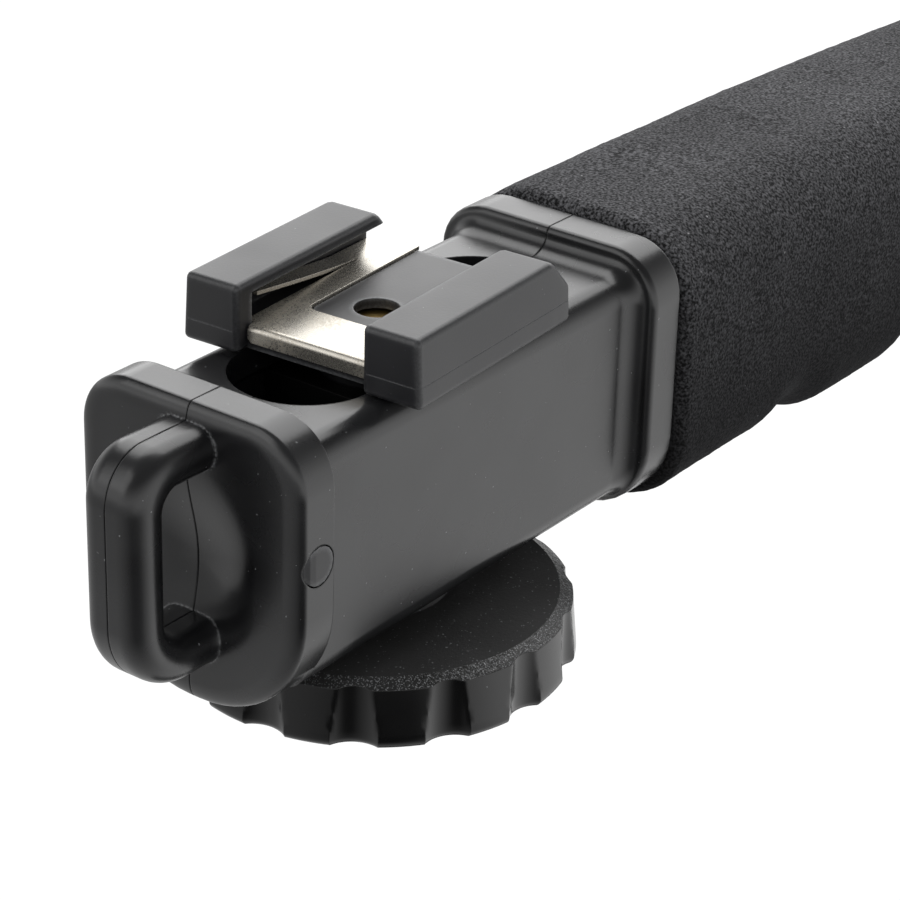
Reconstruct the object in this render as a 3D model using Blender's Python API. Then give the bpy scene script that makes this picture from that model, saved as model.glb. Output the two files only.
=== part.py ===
"""A handheld camera stabilizer grip.

A C-shaped frame in two clamshell halves carries a foam grip on its upper arm and a camera on its lower
one. In front of the grip an accessory shoe slides along a slot and swivels, and a knob below clamps it.
A captive camera screw with a like knob slides along the slot of the lower arm.

The open end, with the strap loop, points to -X, and the spine is at +X. Left is +Y, and up is +Z.
The origin is under the middle of the frame's box, on the surface that the feet stand on.
"""

import math

import bmesh
import bpy
from mathutils import Matrix, Vector

MM = 0.001  # the sizes below are written in millimetres

# Fits and joins
seat_gap = 0.3 * MM  # round or beside a piece that another one carries
fine_gap = 0.15 * MM  # between small fitted pieces
seam_gap = 0.12 * MM  # between the two halves of the frame
overrun = 3.0 * MM  # how far a cutter runs past what it cuts
embed = 1.5 * MM  # how deep joined shapes reach into each other

# Front bar of the upper arm, between the end flange and the collar
bar_width = 19.5 * MM
bar_height = 21.5 * MM
bar_length = 41.7 * MM
bar_corner = 2.2 * MM
wall = 2.6 * MM

# End flange and its dished face
flange_width = 23.4 * MM
flange_thickness = 4.3 * MM
flange_top_rise = 2.4 * MM  # above the bar's top
flange_bottom_drop = 3.0 * MM  # below the bar's underside
flange_top_corner = 5.2 * MM
flange_low_corner = 11.2 * MM
flange_edge = 1.9 * MM
dish_depth = 1.3 * MM
dish_width = 14.0 * MM
dish_height = 18.0 * MM
dish_drop = 11.6 * MM  # from the bar's top to its middle
dish_corner_share = 0.475  # radius of its corners, as a share of its width
dish_shares = (1, 0.8, 0.6, 0.4, 0.2)  # its rings, from its rim inwards

# Strap loop on the end flange
loop_reach = 9.35 * MM
loop_width = 6.2 * MM
loop_bar = 4.3 * MM  # thickness of the upper and front bars
loop_root = 4.0 * MM  # thickness of the lower bar
loop_corner = 2.05 * MM
loop_corner_share = 0.48  # at most this share of a bar's thickness
loop_top_rise = 0.95 * MM  # above the bar's top
loop_low_rise = 1.15 * MM  # above the bar's underside
loop_upper_bend = 4.4 * MM  # outer radii of its two bends
loop_lower_bend = 6.5 * MM
loop_upper_corner = 1.5 * MM  # radii of its opening's front corners
loop_lower_corner = 2.3 * MM
loop_flare = 1.6 * MM  # how far the lower bar spreads on each side where it meets the flange
loop_flare_length = 2.2 * MM
loop_flare_shares = ((0, 0), (0.45, 0.12), (0.75, 0.4), (1, 1))  # (length, spread)

# Collars at both ends of the foam grip
collar_length = 6.5 * MM
collar_proud = 2.15 * MM
collar_rim = 3.6 * MM  # straight rim next to the foam
collar_profile_shares = (
    (0, 0), (0.29, 0.05), (0.54, 0.2), (0.7, 0.42), (0.76, 0.67), (0.8, 0.84), (0.88, 0.96), (1, 1)
)  # (length, height): a hollow rise with a rounded top
collar_corner_share = 1.25  # how fast the upper corners' radius grows with the collar
collar_low_corner = 7.4 * MM  # radius of the rim's lower corners

# Foam grip and the core that it is pulled over
grip_length = 106.7 * MM
grip_width = 25.6 * MM
grip_top_rise = 3.0 * MM  # above the bar's top, where the back is highest
grip_bottom_drop = 3.5 * MM  # below the bar's underside
grip_corner = 8.0 * MM
grip_sag = 3.2 * MM  # how much lower the back of the hand side is at the rear
grip_end_round = 1.0 * MM
finger_count = 4
finger_pitch = 24.0 * MM
finger_first = 22.85 * MM  # from the front end to the first groove
finger_depth = 1.8 * MM
finger_length = 13.0 * MM
core_step = 1.25 * MM  # the core is this much smaller than the bar on every side
core_corner = 0.8 * MM  # least corner radius of the core and of the hollow inside

# Spine and lower arm
spine_width = 22.0 * MM
spine_depth = 25.0 * MM
spine_corner = 5.0 * MM
bend_radius = 22.0 * MM
throat_height = 134.5 * MM  # from the platform's top to the bar's underside
platform_width = 50.0 * MM
platform_thickness = 11.0 * MM
platform_corner = 2.6 * MM
platform_neck = 34.0 * MM
platform_flare = 18.0 * MM  # length over which the neck grows to the full width
platform_setback = 27.6 * MM  # how far its front end lies behind the strap loop
platform_nose = 12.0 * MM  # corner radius of its front end, seen from above
platform_rise = 13.0 * MM  # from the standing surface to its underside
nose_edge = 1.2 * MM
nose_steps = 7

# Feet
foot_block_length = 14.0 * MM
foot_block_width = 34.0 * MM
foot_block_corner = 3.0 * MM
foot_front_inset = 4.0 * MM
foot_rear_inset = 3.0 * MM  # from where the lower bend starts to the rear block
foot_radius = 4.5 * MM
foot_thickness = 1.5 * MM
foot_spread = 23.0 * MM

# Upper slot and the accessory shoe on it
slot_width = 13.0 * MM
slot_length = 36.1 * MM
slot_front_gap = 3.8 * MM  # from the flange to the slot's front end
low_slot_width = 7.6 * MM
shoe_rest_travel = 9.8 * MM  # the shoe's axis, behind the middle of the slot's front end
shoe_offset = 0.4 * MM  # its axis stands this far left of the middle plane, within the slot's play
shoe_yaw = math.radians(3.4)

shoe_width = 24.0 * MM
shoe_draft = 0.33 * MM
shoe_height = 6.1 * MM
shoe_front_reach = 11.05 * MM  # from its axis to the front of the rails
shoe_rear_reach = 12.3 * MM  # from its axis to the rear edge of its base
shoe_rail_rear = 9.1 * MM  # from its axis to the rear of the rails' tops
shoe_wall_rear = 11.6 * MM  # from its axis to the rear of the rails' walls
shoe_wall_height = 3.3 * MM  # of the rails' walls at their rear
shoe_gap = 12.5 * MM  # between the lips
channel_width = 18.7 * MM
lip_thickness = 1.9 * MM
channel_floor = 1.8 * MM  # height of the floor under the spring plate
pad_top = 2.05 * MM  # height of the raised floor in the plate's window
post_length = 2.0 * MM
shoe_edge = 0.6 * MM
lip_edge = 0.35 * MM
shoe_floor_hole = 4.0 * MM
shoe_boss_radius = 5.0 * MM
shoe_boss_drop = 4.6 * MM

insert_radius = 4.0 * MM
insert_rise = 1.0 * MM  # how far it reaches up into the shoe's base
insert_bore = 3.35 * MM

spring_sheet = 0.35 * MM
spring_front = 1.2 * MM  # from the front of the rails to the fold
spring_lip_drop = 1.5 * MM
spring_bridge = 5.85 * MM  # length of the cross piece behind the fold
spring_window = 8.9 * MM
spring_strip = 2.55 * MM  # width of the flat strip beside the window
spring_slit = 0.2 * MM  # between the strip and the tab outside it
spring_side_gap = 0.2 * MM
spring_tab_rise = 1.8 * MM
spring_tab_front = 4.0 * MM  # from the front of the rails to the tab's free end
spring_tab_length = 14.0 * MM
spring_tail = 0.4 * MM  # how far its strips reach past the shoe's rear edge

spacer_length = 13.7 * MM
washer_radius = 6.75 * MM
washer_thickness = 0.8 * MM

# Knobs and their screws
knob_face_radius = 16.4 * MM
knob_chamfer_radius = 17.6 * MM
knob_radius = 18.05 * MM
knob_chamfer_drop = 0.65 * MM
knob_hub_radius = 6.5 * MM
knob_hub_height = 1.25 * MM
knob_height = 6.25 * MM  # below the hub
knob_under_round = 0.8 * MM
flute_count = 14
flute_radius = 3.2 * MM
flute_depth = 0.85 * MM
shoe_knob_turn = math.radians(-120.5)  # how far the shoe's knob is turned at rest
knob_segments = 42
flute_segments = 16
stud_radius = 3.1 * MM
stud_tip_chamfer = 0.6 * MM
stud_head_radius = 5.4 * MM
stud_head_height = 2.6 * MM
cap_radius = 8.0 * MM
cap_thickness = 1.0 * MM
shoe_stud_rise = 1.05 * MM  # from the bar's top to the stud's tip

# Lower slot and the captive camera screw
camera_slot_travel = 72.0 * MM
camera_slot_front = 38.0 * MM  # from the platform's front end to the slot's front middle
camera_rest_travel = 30.0 * MM
camera_slot_width = 7.0 * MM
recess_width = 14.0 * MM
recess_depth = 5.0 * MM
guide_length = 16.0 * MM
guide_thickness = 1.5 * MM
clip_radius = 5.0 * MM
clip_thickness = 0.8 * MM
camera_lift = 3.0 * MM
camera_stud_rise = 3.0 * MM  # from the platform's top to the stud's tip at rest

# Rubber pads on the platform
pad_width = 12.0 * MM
pad_length = 104.0 * MM
pad_thickness = 1.5 * MM
pad_corner = 2.5 * MM
pad_spacing = 30.5 * MM
pad_front_inset = 13.0 * MM

# Case screws and the plugs over them
plug_radius = 1.7 * MM
plug_thickness = 1.8 * MM
screw_head_radius = 1.6 * MM
screw_head_height = 1.6 * MM
screw_radius = 0.9 * MM
screw_length = 13.5 * MM
screw_boss_radius = 4.2 * MM
flange_screw_drop = 8.9 * MM  # below the bar's top
flange_screw_setback = 2.3 * MM  # behind the flange's front face

# Places that follow from the sizes
grip_core_width = bar_width - 2 * core_step
grip_core_height = bar_height - 2 * core_step
front_length = loop_reach + flange_thickness + bar_length
overall_length = front_length + 2 * collar_length + grip_length + bend_radius + spine_depth / 2
loop_front_x = -overall_length / 2
flange_front_x = loop_front_x + loop_reach
flange_back_x = flange_front_x + flange_thickness
collar_start_x = flange_back_x + bar_length
grip_start_x = collar_start_x + collar_length
grip_end_x = grip_start_x + grip_length
rear_collar_end_x = grip_end_x + collar_length
spine_x = rear_collar_end_x + bend_radius

platform_top = platform_rise + platform_thickness
platform_middle = platform_rise + platform_thickness / 2
bar_bottom = platform_top + throat_height
bar_middle = bar_bottom + bar_height / 2
bar_top = bar_bottom + bar_height
neck_x = spine_x - bend_radius
platform_front_x = loop_front_x + platform_setback

slot_front_x = flange_back_x + slot_front_gap + slot_width / 2
slot_rear_x = flange_back_x + slot_front_gap + slot_length - slot_width / 2
shoe_x = slot_front_x + shoe_rest_travel
camera_slot_x = platform_front_x + camera_slot_front
camera_x = camera_slot_x + camera_rest_travel
recess_length = camera_slot_travel + guide_length + 2 * seat_gap

shoe_base = bar_top + fine_gap
washer_top = bar_bottom - fine_gap
knob_hub_top = washer_top - washer_thickness - fine_gap
camera_washer_top = platform_rise - fine_gap - camera_lift
camera_hub_top = camera_washer_top - washer_thickness - fine_gap


def clear_scene():
    for obj in list(bpy.data.objects):
        bpy.data.objects.remove(obj)


def make_material(name, colour, roughness, metallic=0.0):
    material = bpy.data.materials.new(name)
    material.use_nodes = True
    shader = material.node_tree.nodes["Principled BSDF"]
    shader.inputs["Base Color"].default_value = (*colour, 1)
    shader.inputs["Roughness"].default_value = roughness
    shader.inputs["Metallic"].default_value = metallic
    return material


def add_solid(name, bm, material=None, place=(0, 0, 0), turn=0.0):
    """Links a mesh as an object, smooth but for its sharp edges, at its place and turned about Z."""
    bmesh.ops.recalc_face_normals(bm, faces=bm.faces)
    mesh = bpy.data.meshes.new(name)
    bm.to_mesh(mesh)
    bm.free()
    mesh.shade_smooth()
    mesh.set_sharp_from_angle(angle=math.radians(35))
    obj = bpy.data.objects.new(name, mesh)
    obj.location = place
    obj.rotation_euler.z = turn
    if material:
        mesh.materials.append(material)
    bpy.context.scene.collection.objects.link(obj)
    return obj


def combine(target, tool, operation="DIFFERENCE", solver="EXACT"):
    """Cuts or joins one solid with another, and takes the tool away."""
    modifier = target.modifiers.new("Combine", "BOOLEAN")
    modifier.operation = operation
    modifier.solver = solver
    modifier.object = tool
    bpy.context.view_layer.update()
    graph = bpy.context.evaluated_depsgraph_get()
    mesh = bpy.data.meshes.new_from_object(target.evaluated_get(graph))
    target.modifiers.clear()
    target.data = mesh
    bpy.data.objects.remove(tool)
    return target


def rounded_rectangle(width, height, corner, low_corner=None, steps=3):
    """Points (across, up) of a rounded rectangle round its middle, anticlockwise."""
    low_corner = corner if low_corner is None else low_corner
    points = []
    for side, level, radius, start in (
        (1, 1, corner, 0),
        (-1, 1, corner, 90),
        (-1, -1, low_corner, 180),
        (1, -1, low_corner, 270),
    ):
        for step in range(steps + 1):
            angle = math.radians(start + 90 * step / steps)
            across = side * (width / 2 - radius) + radius * math.cos(angle)
            up = level * (height / 2 - radius) + radius * math.sin(angle)
            points.append((across, up))
    return points


def stadium(length, width, steps=10):
    """Points (x, y) of a slot with round ends round its middle; length is from end to end."""
    half = (length - width) / 2
    points = []
    for side, start in ((1, -90), (-1, 90)):
        for step in range(steps + 1):
            angle = math.radians(start + 180 * step / steps)
            points.append((side * half + width / 2 * math.cos(angle), width / 2 * math.sin(angle)))
    return points


def circle(radius, segments):
    angles = (math.tau * i / segments for i in range(segments))
    return [(radius * math.cos(angle), radius * math.sin(angle)) for angle in angles]


def loft(rings, closed=False):
    """A closed mesh through rings of equally many points.

    It has flat ends, or joins its last ring to its first.
    """
    bm = bmesh.new()
    rows = [[bm.verts.new(point) for point in points] for points in rings]
    pairs = list(zip(rows, rows[1:]))
    if closed:
        pairs.append((rows[-1], rows[0]))
    else:
        bm.faces.new(rows[0])
        bm.faces.new(rows[-1])
    for row, following in pairs:
        for i, point in enumerate(row):
            j = (i + 1) % len(row)
            bm.faces.new((point, row[j], following[j], following[i]))
    return bm


def prism(outline, low, high):
    """An outline of (x, y) points, upright from one height to another."""
    return loft([[(x, y, z) for x, y in outline] for z in (low, high)])


def box(low, high):
    bm = bmesh.new()
    size = Vector(high) - Vector(low)
    middle = (Vector(high) + Vector(low)) / 2
    bmesh.ops.create_cube(bm, size=1, matrix=Matrix.Translation(middle) @ Matrix.Diagonal((*size, 1)))
    return bm


def turned(profile, segments, hollow=False):
    """(radius, height) points turned about the Z axis. A hollow profile runs back to its start."""
    rings = [[(x, y, height) for x, y in circle(radius, segments)] for radius, height in profile]
    return loft(rings, hollow)


def across_turned(profile, x, z, segments):
    """(radius, y) points turned about a line through (x, z) along Y."""
    return loft([[(x + a, y, z + b) for a, b in circle(radius, segments)] for radius, y in profile])


def section(x, z, turn, width, height, corner, low_corner=None):
    """A rounded section of the frame at (x, z).

    Turn is 0 on the upper arm and half a turn on the lower one.
    """
    outward_x, outward_z = math.sin(turn), math.cos(turn)
    return [
        (x + outward_x * up, across, z + outward_z * up)
        for across, up in rounded_rectangle(width, height, corner, low_corner)
    ]


def bar_section(x, growth):
    """The bar's section at x, grown on every side."""
    corner = max(bar_corner + growth, core_corner)
    return section(x, bar_middle, 0, bar_width + 2 * growth, bar_height + 2 * growth, corner)


def collar_section(x, share):
    """The section of a collar at x, where it has this share of its full height."""
    growth = collar_proud * share
    corner = bar_corner + growth * collar_corner_share
    low_corner = bar_corner + (collar_low_corner - bar_corner) * share
    return section(x, bar_middle, 0, bar_width + 2 * growth, bar_height + 2 * growth, corner, low_corner)


def collar_rings(x_from, x_to):
    """A collar that rises out of the bar at x_from and ends in a straight rim at x_to."""
    direction = 1 if x_to > x_from else -1
    flare = x_to - x_from - direction * collar_rim
    rings = [collar_section(x_from + flare * along, height) for along, height in collar_profile_shares]
    rings.append(collar_section(x_to, 1))
    return rings


def bend_and_platform(inset):
    """Rings from the upper arm's rear end down the spine to the platform's front, drawn in by inset."""
    stations = []
    steps = 7
    for step in range(steps + 1):
        share = step / steps
        turn = math.radians(90 * share)
        x = rear_collar_end_x + bend_radius * math.sin(turn)
        z = bar_middle - bend_radius * (1 - math.cos(turn))
        width = bar_width + (spine_width - bar_width) * share
        depth = bar_height + (spine_depth - bar_height) * share
        stations.append((x, z, turn, width, depth, bar_corner + (spine_corner - bar_corner) * share))
    for step in range(steps + 1):
        share = step / steps
        ease = (1 - math.cos(math.pi * share)) / 2
        turn = math.radians(90 + 90 * share)
        x = neck_x + bend_radius * math.sin(turn)
        z = platform_middle + bend_radius * (1 + math.cos(turn))
        width = spine_width + (platform_neck - spine_width) * ease
        depth = spine_depth + (platform_thickness - spine_depth) * ease
        corner = spine_corner + (platform_corner - spine_corner) * ease
        stations.append((x, z, turn, width, depth, corner))
    for step in range(1, steps):
        share = step / (steps - 1)
        ease = (1 - math.cos(math.pi * share)) / 2
        width = platform_neck + (platform_width - platform_neck) * ease
        x = neck_x - platform_flare * share
        stations.append((x, platform_middle, math.pi, width, platform_thickness, platform_corner))
    for step in range(nose_steps):
        angle = math.pi / 2 * step / nose_steps
        x = platform_front_x + platform_nose - (platform_nose - inset) * math.sin(angle)
        width = platform_width - 2 * platform_nose * (1 - math.cos(angle))
        stations.append((x, platform_middle, math.pi, width, platform_thickness, platform_corner))
    rings = []
    for x, z, turn, width, depth, corner in stations:
        inner_corner = max(corner - inset, platform_corner / 4)
        rings.append(section(x, z, turn, width - 2 * inset, depth - 2 * inset, inner_corner))
    return rings


def nose_ring():
    """The platform's flat front end, inside its rounded edge."""
    angle = math.pi / 2 * (nose_steps - 1) / nose_steps
    width = platform_width - 2 * platform_nose * (1 - math.cos(angle)) - 2 * nose_edge
    height = platform_thickness - 2 * nose_edge
    return section(platform_front_x, platform_middle, math.pi, width, height, platform_corner / 2)


def outer_form():
    """The outside of both halves, from inside the flange to the platform's front end."""
    rings = [bar_section(flange_back_x - embed, 0)]
    rings += collar_rings(collar_start_x, grip_start_x)
    rings += [bar_section(x, -core_step) for x in (grip_start_x, grip_end_x)]
    rear = collar_rings(rear_collar_end_x, grip_end_x)
    rings += rear[::-1][:-1]
    rings += bend_and_platform(0)
    rings.append(nose_ring())
    return add_solid("outer_form", loft(rings))


def flange_form():
    """The end flange: rings run forward along its side, round its edge and then inwards down the dish."""
    height = flange_top_rise + bar_height + flange_bottom_drop
    middle = bar_top + flange_top_rise - height / 2

    steps = 5

    def outline(x, inset):
        width, tall = flange_width - 2 * inset, height - 2 * inset
        top_corner, low_corner = flange_top_corner - inset, flange_low_corner - inset
        points = rounded_rectangle(width, tall, top_corner, low_corner, steps)
        return [(x, across, middle + up) for across, up in points]

    rings = [outline(flange_back_x, 0)]
    for step in range(steps + 1):
        angle = math.pi / 2 * step / steps
        x = flange_front_x + flange_edge * (1 - math.sin(angle))
        rings.append(outline(x, flange_edge * (1 - math.cos(angle))))
    for share in dish_shares:
        x = flange_front_x + dish_depth * (1 + math.cos(math.pi * share)) / 2
        width, tall = dish_width * share, dish_height * share
        points = rounded_rectangle(width, tall, width * dish_corner_share, steps=steps)
        rings.append([(x, across, bar_top - dish_drop + up) for across, up in points])
    return add_solid("flange_form", loft(rings))


def arc(x, z, radius, start, end, steps):
    """Points (x, z) along an arc round (x, z), from one angle to another."""
    angles = (start + (end - start) * step / steps for step in range(steps + 1))
    return [(x + radius * math.cos(angle), z + radius * math.sin(angle)) for angle in angles]


def loop_outline(front, top, low, upper_radius, lower_radius):
    """(x, z) points of one side of the strap loop, from the flange round its front and back."""
    root_x = flange_front_x + embed
    upper = arc(front + upper_radius, top - upper_radius, upper_radius, math.pi / 2, math.pi, 5)
    lower = arc(front + lower_radius, low + lower_radius, lower_radius, math.pi, 3 * math.pi / 2, 8)
    return [(root_x, top), *upper, *lower, (root_x, low)]


def loop_section(outer, inner, width):
    """One rounded section of the loop, from a point (x, z) of its outer outline to one of its opening's."""
    outer, inner = Vector(outer), Vector(inner)
    middle, reach = (outer + inner) / 2, outer - inner
    corner = min(loop_corner, reach.length * loop_corner_share)
    outline = rounded_rectangle(width, reach.length, corner, steps=4)
    reach.normalize()
    return [(middle.x + reach.x * up, across, middle.y + reach.y * up) for across, up in outline]


def loop_form():
    """The strap loop: rounded sections that reach from its outer outline to its opening's."""
    top, low = bar_top + loop_top_rise, bar_bottom + loop_low_rise
    outside = loop_outline(loop_front_x, top, low, loop_upper_bend, loop_lower_bend)
    opening = loop_outline(
        loop_front_x + loop_bar, top - loop_bar, low + loop_root, loop_upper_corner, loop_lower_corner
    )
    rings = [loop_section(outer, inner, loop_width) for outer, inner in zip(outside, opening)][:-1]
    for along, spread in loop_flare_shares:
        x = flange_front_x + dish_depth - loop_flare_length * (1 - along)
        rings.append(loop_section((x, low), (x, low + loop_root), loop_width + 2 * loop_flare * spread))
    rings.append(loop_section(outside[-1], opening[-1], loop_width + 2 * loop_flare))
    return add_solid("loop_form", loft(rings))


def foot_block(x):
    """A block under the platform that holds two of the feet."""
    outline = rounded_rectangle(foot_block_length, foot_block_width, foot_block_corner)
    low = foot_thickness + fine_gap
    return prism([(x + a, b) for a, b in outline], low, platform_rise + embed)


def foot_places():
    """The middles of the two foot blocks along X."""
    front = platform_front_x + foot_front_inset + foot_block_length / 2
    rear = neck_x - foot_rear_inset - foot_block_length / 2
    return front, rear


def screw_places():
    """(name, x, z, half width of the frame there) of each case screw."""
    bend = bend_radius * math.sqrt(0.5)
    spine_low = platform_middle + bend_radius
    spine_high = bar_middle - bend_radius
    upper_half = (bar_width + spine_width) / 4
    lower_half = (spine_width + platform_neck) / 4
    foot_front, _ = foot_places()
    return [
        ("flange", flange_front_x + flange_screw_setback, bar_top - flange_screw_drop, flange_width / 2),
        ("upper_bend", rear_collar_end_x + bend, spine_high + bend, upper_half),
        ("spine", spine_x, (spine_low + spine_high) / 2, spine_width / 2),
        ("lower_bend", neck_x + bend, spine_low - bend, lower_half),
        ("platform_front", foot_front, platform_middle, platform_width / 2),
        ("platform_rear", neck_x - platform_flare, platform_middle, platform_width / 2),
    ]


def screw_seat():
    """From the seam to the underside of the screws' heads.

    It leaves room for a plug where the frame is narrowest.
    """
    narrowest = min(half_width for _, _, _, half_width in screw_places())
    return narrowest - plug_thickness - seat_gap - screw_head_height


def screw_hole(x, z):
    """A hole along Y: wide from the right side to the screw's head, then narrow into the left half."""
    outside = -platform_width
    seat = fine_gap - screw_seat()
    tip = screw_length - screw_seat() + seat_gap
    wide, narrow = plug_radius + fine_gap, screw_radius + fine_gap
    return across_turned([(wide, outside), (wide, seat), (narrow, seat), (narrow, tip)], x, z, 16)


def cavity_form():
    """The hollow inside both halves, with the screw bosses and the lower slot's lining left standing."""
    rings = [bar_section(x, -wall) for x in (flange_back_x, grip_start_x)]
    rings += [bar_section(x, -core_step - wall) for x in (grip_start_x, grip_end_x)]
    rings += [bar_section(grip_end_x, -wall)]
    rings += bend_and_platform(wall)
    cavity = add_solid("cavity_form", loft(rings))
    for name, x, z, half_width in screw_places():
        if name != "flange":
            reach = half_width + overrun
            boss = across_turned([(screw_boss_radius, y) for y in (-reach, reach)], x, z, 16)
            combine(cavity, add_solid("boss", boss))
    lining = stadium(recess_length + 2 * wall, recess_width + 2 * wall)
    middle = camera_slot_x + camera_slot_travel / 2
    lining = [(middle + a, b) for a, b in lining]
    combine(cavity, add_solid("lining", prism(lining, platform_rise - overrun, platform_top + overrun)))
    return cavity


def slot_cutters():
    """Cutters for the slots of the shoe and of the camera screw.

    The shoe's slot is wide through the bar's top and narrow through its underside, and the camera
    screw's one has a recess in the platform's top.
    """
    shoe_middle = (slot_front_x + slot_rear_x) / 2
    low_slot_length = slot_rear_x - slot_front_x + low_slot_width
    camera_middle = camera_slot_x + camera_slot_travel / 2
    camera_slot_length = camera_slot_travel + camera_slot_width
    above_bar, below_bar = bar_top + overrun, bar_bottom - overrun
    above_platform, below_platform = platform_top + overrun, platform_rise - overrun
    cuts = (
        (shoe_middle, slot_length, slot_width, bar_middle, above_bar),
        (shoe_middle, low_slot_length, low_slot_width, below_bar, bar_bottom + bar_height / 4),
        (camera_middle, camera_slot_length, camera_slot_width, below_platform, above_platform),
        (camera_middle, recess_length, recess_width, platform_top - recess_depth, above_platform),
    )
    for middle, length, width, low, high in cuts:
        outline = [(middle + a, b) for a, b in stadium(length, width)]
        yield add_solid("slot_cutter", prism(outline, low, high))


def frame_halves(material):
    """Both halves of the frame, cut apart along the middle plane."""
    whole = outer_form()
    combine(whole, flange_form(), "UNION")
    combine(whole, loop_form(), "UNION")
    for x in foot_places():
        combine(whole, add_solid("foot_block", foot_block(x)), "UNION")
    combine(whole, cavity_form())
    for cutter in slot_cutters():
        combine(whole, cutter)
    for _, x, z, _ in screw_places():
        combine(whole, add_solid("screw_hole", screw_hole(x, z)))
    far = overall_length
    for name, low_y, high_y in (("shell_left", seam_gap / 2, far), ("shell_right", -far, -seam_gap / 2)):
        half = whole.copy()
        half.data = whole.data.copy()
        half.name = name
        bpy.context.scene.collection.objects.link(half)
        keep = add_solid("keep", box((-far, low_y, -far), (far, high_y, far)))
        combine(half, keep, "INTERSECT", "MANIFOLD")
        half.data.name = name
        half.data.materials.clear()
        half.data.materials.append(material)
    bpy.data.objects.remove(whole)


def grip_bottom(x):
    """How far the grip's underside is drawn in at x, from the finger grooves."""
    depth = 0.0
    for finger in range(finger_count):
        groove = grip_start_x + finger_first + finger * finger_pitch
        away = abs(x - groove) / (finger_length / 2)
        if away < 1:
            depth = max(depth, finger_depth * (1 + math.cos(math.pi * away)) / 2)
    return depth


def grip_section(x, draw_in, steps):
    """The foam's outline at x, with its gently arched back and its finger grooves."""
    along = (x - grip_start_x) / grip_length
    top = bar_top + grip_top_rise - grip_sag * along**2 - draw_in
    bottom = bar_bottom - grip_bottom_drop + grip_bottom(x) + draw_in
    outline = rounded_rectangle(grip_width - 2 * draw_in, top - bottom, grip_corner - draw_in, steps=steps)
    return [(x, across, (top + bottom) / 2 + up) for across, up in outline]


def foam_grip(material):
    rings = []
    steps = 48
    for step in range(steps + 1):
        x = grip_start_x + seat_gap + (grip_length - 2 * seat_gap) * step / steps
        draw_in = grip_end_round if step in (0, steps) else 0
        rings.append(grip_section(x, draw_in, 4))
    grip = add_solid("foam_grip", loft(rings), material)
    bore = [bar_section(x, -core_step + seat_gap) for x in (grip_start_x - overrun, grip_end_x + overrun)]
    combine(grip, add_solid("bore", loft(bore)))


def channel_profile():
    """(across, up) points of half of the shoe's cross-section, from its underside to its floor."""
    half, top_half = shoe_width / 2, shoe_width / 2 - shoe_draft
    bevel = shoe_edge * (1 - math.sqrt(0.5))
    return [
        (half, 0),
        (top_half, shoe_height - shoe_edge),
        (top_half - bevel, shoe_height - bevel),
        (top_half - shoe_edge, shoe_height),
        (shoe_gap / 2 + lip_edge, shoe_height),
        (shoe_gap / 2, shoe_height - lip_edge),
        (shoe_gap / 2, shoe_height - lip_thickness),
        (channel_width / 2, shoe_height - lip_thickness),
        (channel_width / 2, channel_floor),
    ]


def shoe_body(material):
    half = channel_profile()
    outline = half + [(-across, up) for across, up in reversed(half)]
    rings = [[(x, across, up) for across, up in outline] for x in (-shoe_front_reach, shoe_rear_reach)]
    local = {"place": (shoe_x, shoe_offset, shoe_base), "turn": shoe_yaw}
    body = add_solid("shoe_body", loft(rings), material, **local)

    pad_side = spring_window / 2 - fine_gap
    pad_front = -shoe_front_reach + spring_front + spring_bridge + fine_gap
    pad = box((pad_front, -pad_side, channel_floor - embed / 2), (shoe_rear_reach, pad_side, pad_top))
    combine(body, add_solid("pad", pad, **local), "UNION")
    post_low, post_high = channel_floor - embed / 2, shoe_height - lip_thickness / 2
    for side in (-1, 1):
        low, high = sorted((side * shoe_gap / 2, side * (channel_width / 2 + embed)))
        post = box((-shoe_front_reach, low, post_low), (-shoe_front_reach + post_length, high, post_high))
        combine(body, add_solid("post", post, **local), "UNION")
    # Between the posts the base starts behind the spring plate's folded edge.
    step_x = spring_front - shoe_front_reach + spring_sheet + fine_gap
    step = box((-shoe_front_reach - overrun, -shoe_gap / 2, -overrun), (step_x, shoe_gap / 2, shoe_height))
    combine(body, add_solid("step", step, **local))
    # The rails' rear ends slope down to walls that end in front of the base's rear edge.
    slope = loft([
        [
            (shoe_rail_rear, y, shoe_height + overrun),
            (shoe_rail_rear, y, shoe_height),
            (shoe_wall_rear, y, shoe_wall_height),
            (shoe_wall_rear, y, pad_top),
            (shoe_rear_reach + overrun, y, pad_top),
            (shoe_rear_reach + overrun, y, shoe_height + overrun),
        ]
        for y in (-shoe_width, shoe_width)
    ])
    combine(body, add_solid("slope", slope, **local))
    for side in (-1, 1):
        low, high = sorted((side * channel_width / 2, side * shoe_width))
        corner = box((shoe_wall_rear, low, -overrun), (shoe_rear_reach + overrun, high, shoe_height))
        combine(body, add_solid("corner", corner, **local))
    boss = turned([(shoe_boss_radius, -shoe_boss_drop), (shoe_boss_radius, channel_floor / 2)], 32)
    combine(body, add_solid("boss", boss, **local), "UNION")
    pocket_radius = insert_radius + fine_gap
    pocket_low, pocket_high = -shoe_boss_drop - overrun, insert_rise + fine_gap
    pocket = turned([(pocket_radius, pocket_low), (pocket_radius, pocket_high)], 32)
    combine(body, add_solid("pocket", pocket, **local))
    hole = turned([(shoe_floor_hole / 2, 0), (shoe_floor_hole / 2, pad_top + overrun)], 24)
    combine(body, add_solid("hole", hole, **local))


def shoe_insert(material):
    """The brass nut in the shoe's boss."""
    low, high = -shoe_boss_drop, insert_rise
    profile = [(insert_radius, low), (insert_radius, high), (insert_bore, high), (insert_bore, low)]
    place = (shoe_x, shoe_offset, shoe_base)
    add_solid("shoe_insert", turned(profile, 32, True), material, place, shoe_yaw)


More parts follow.
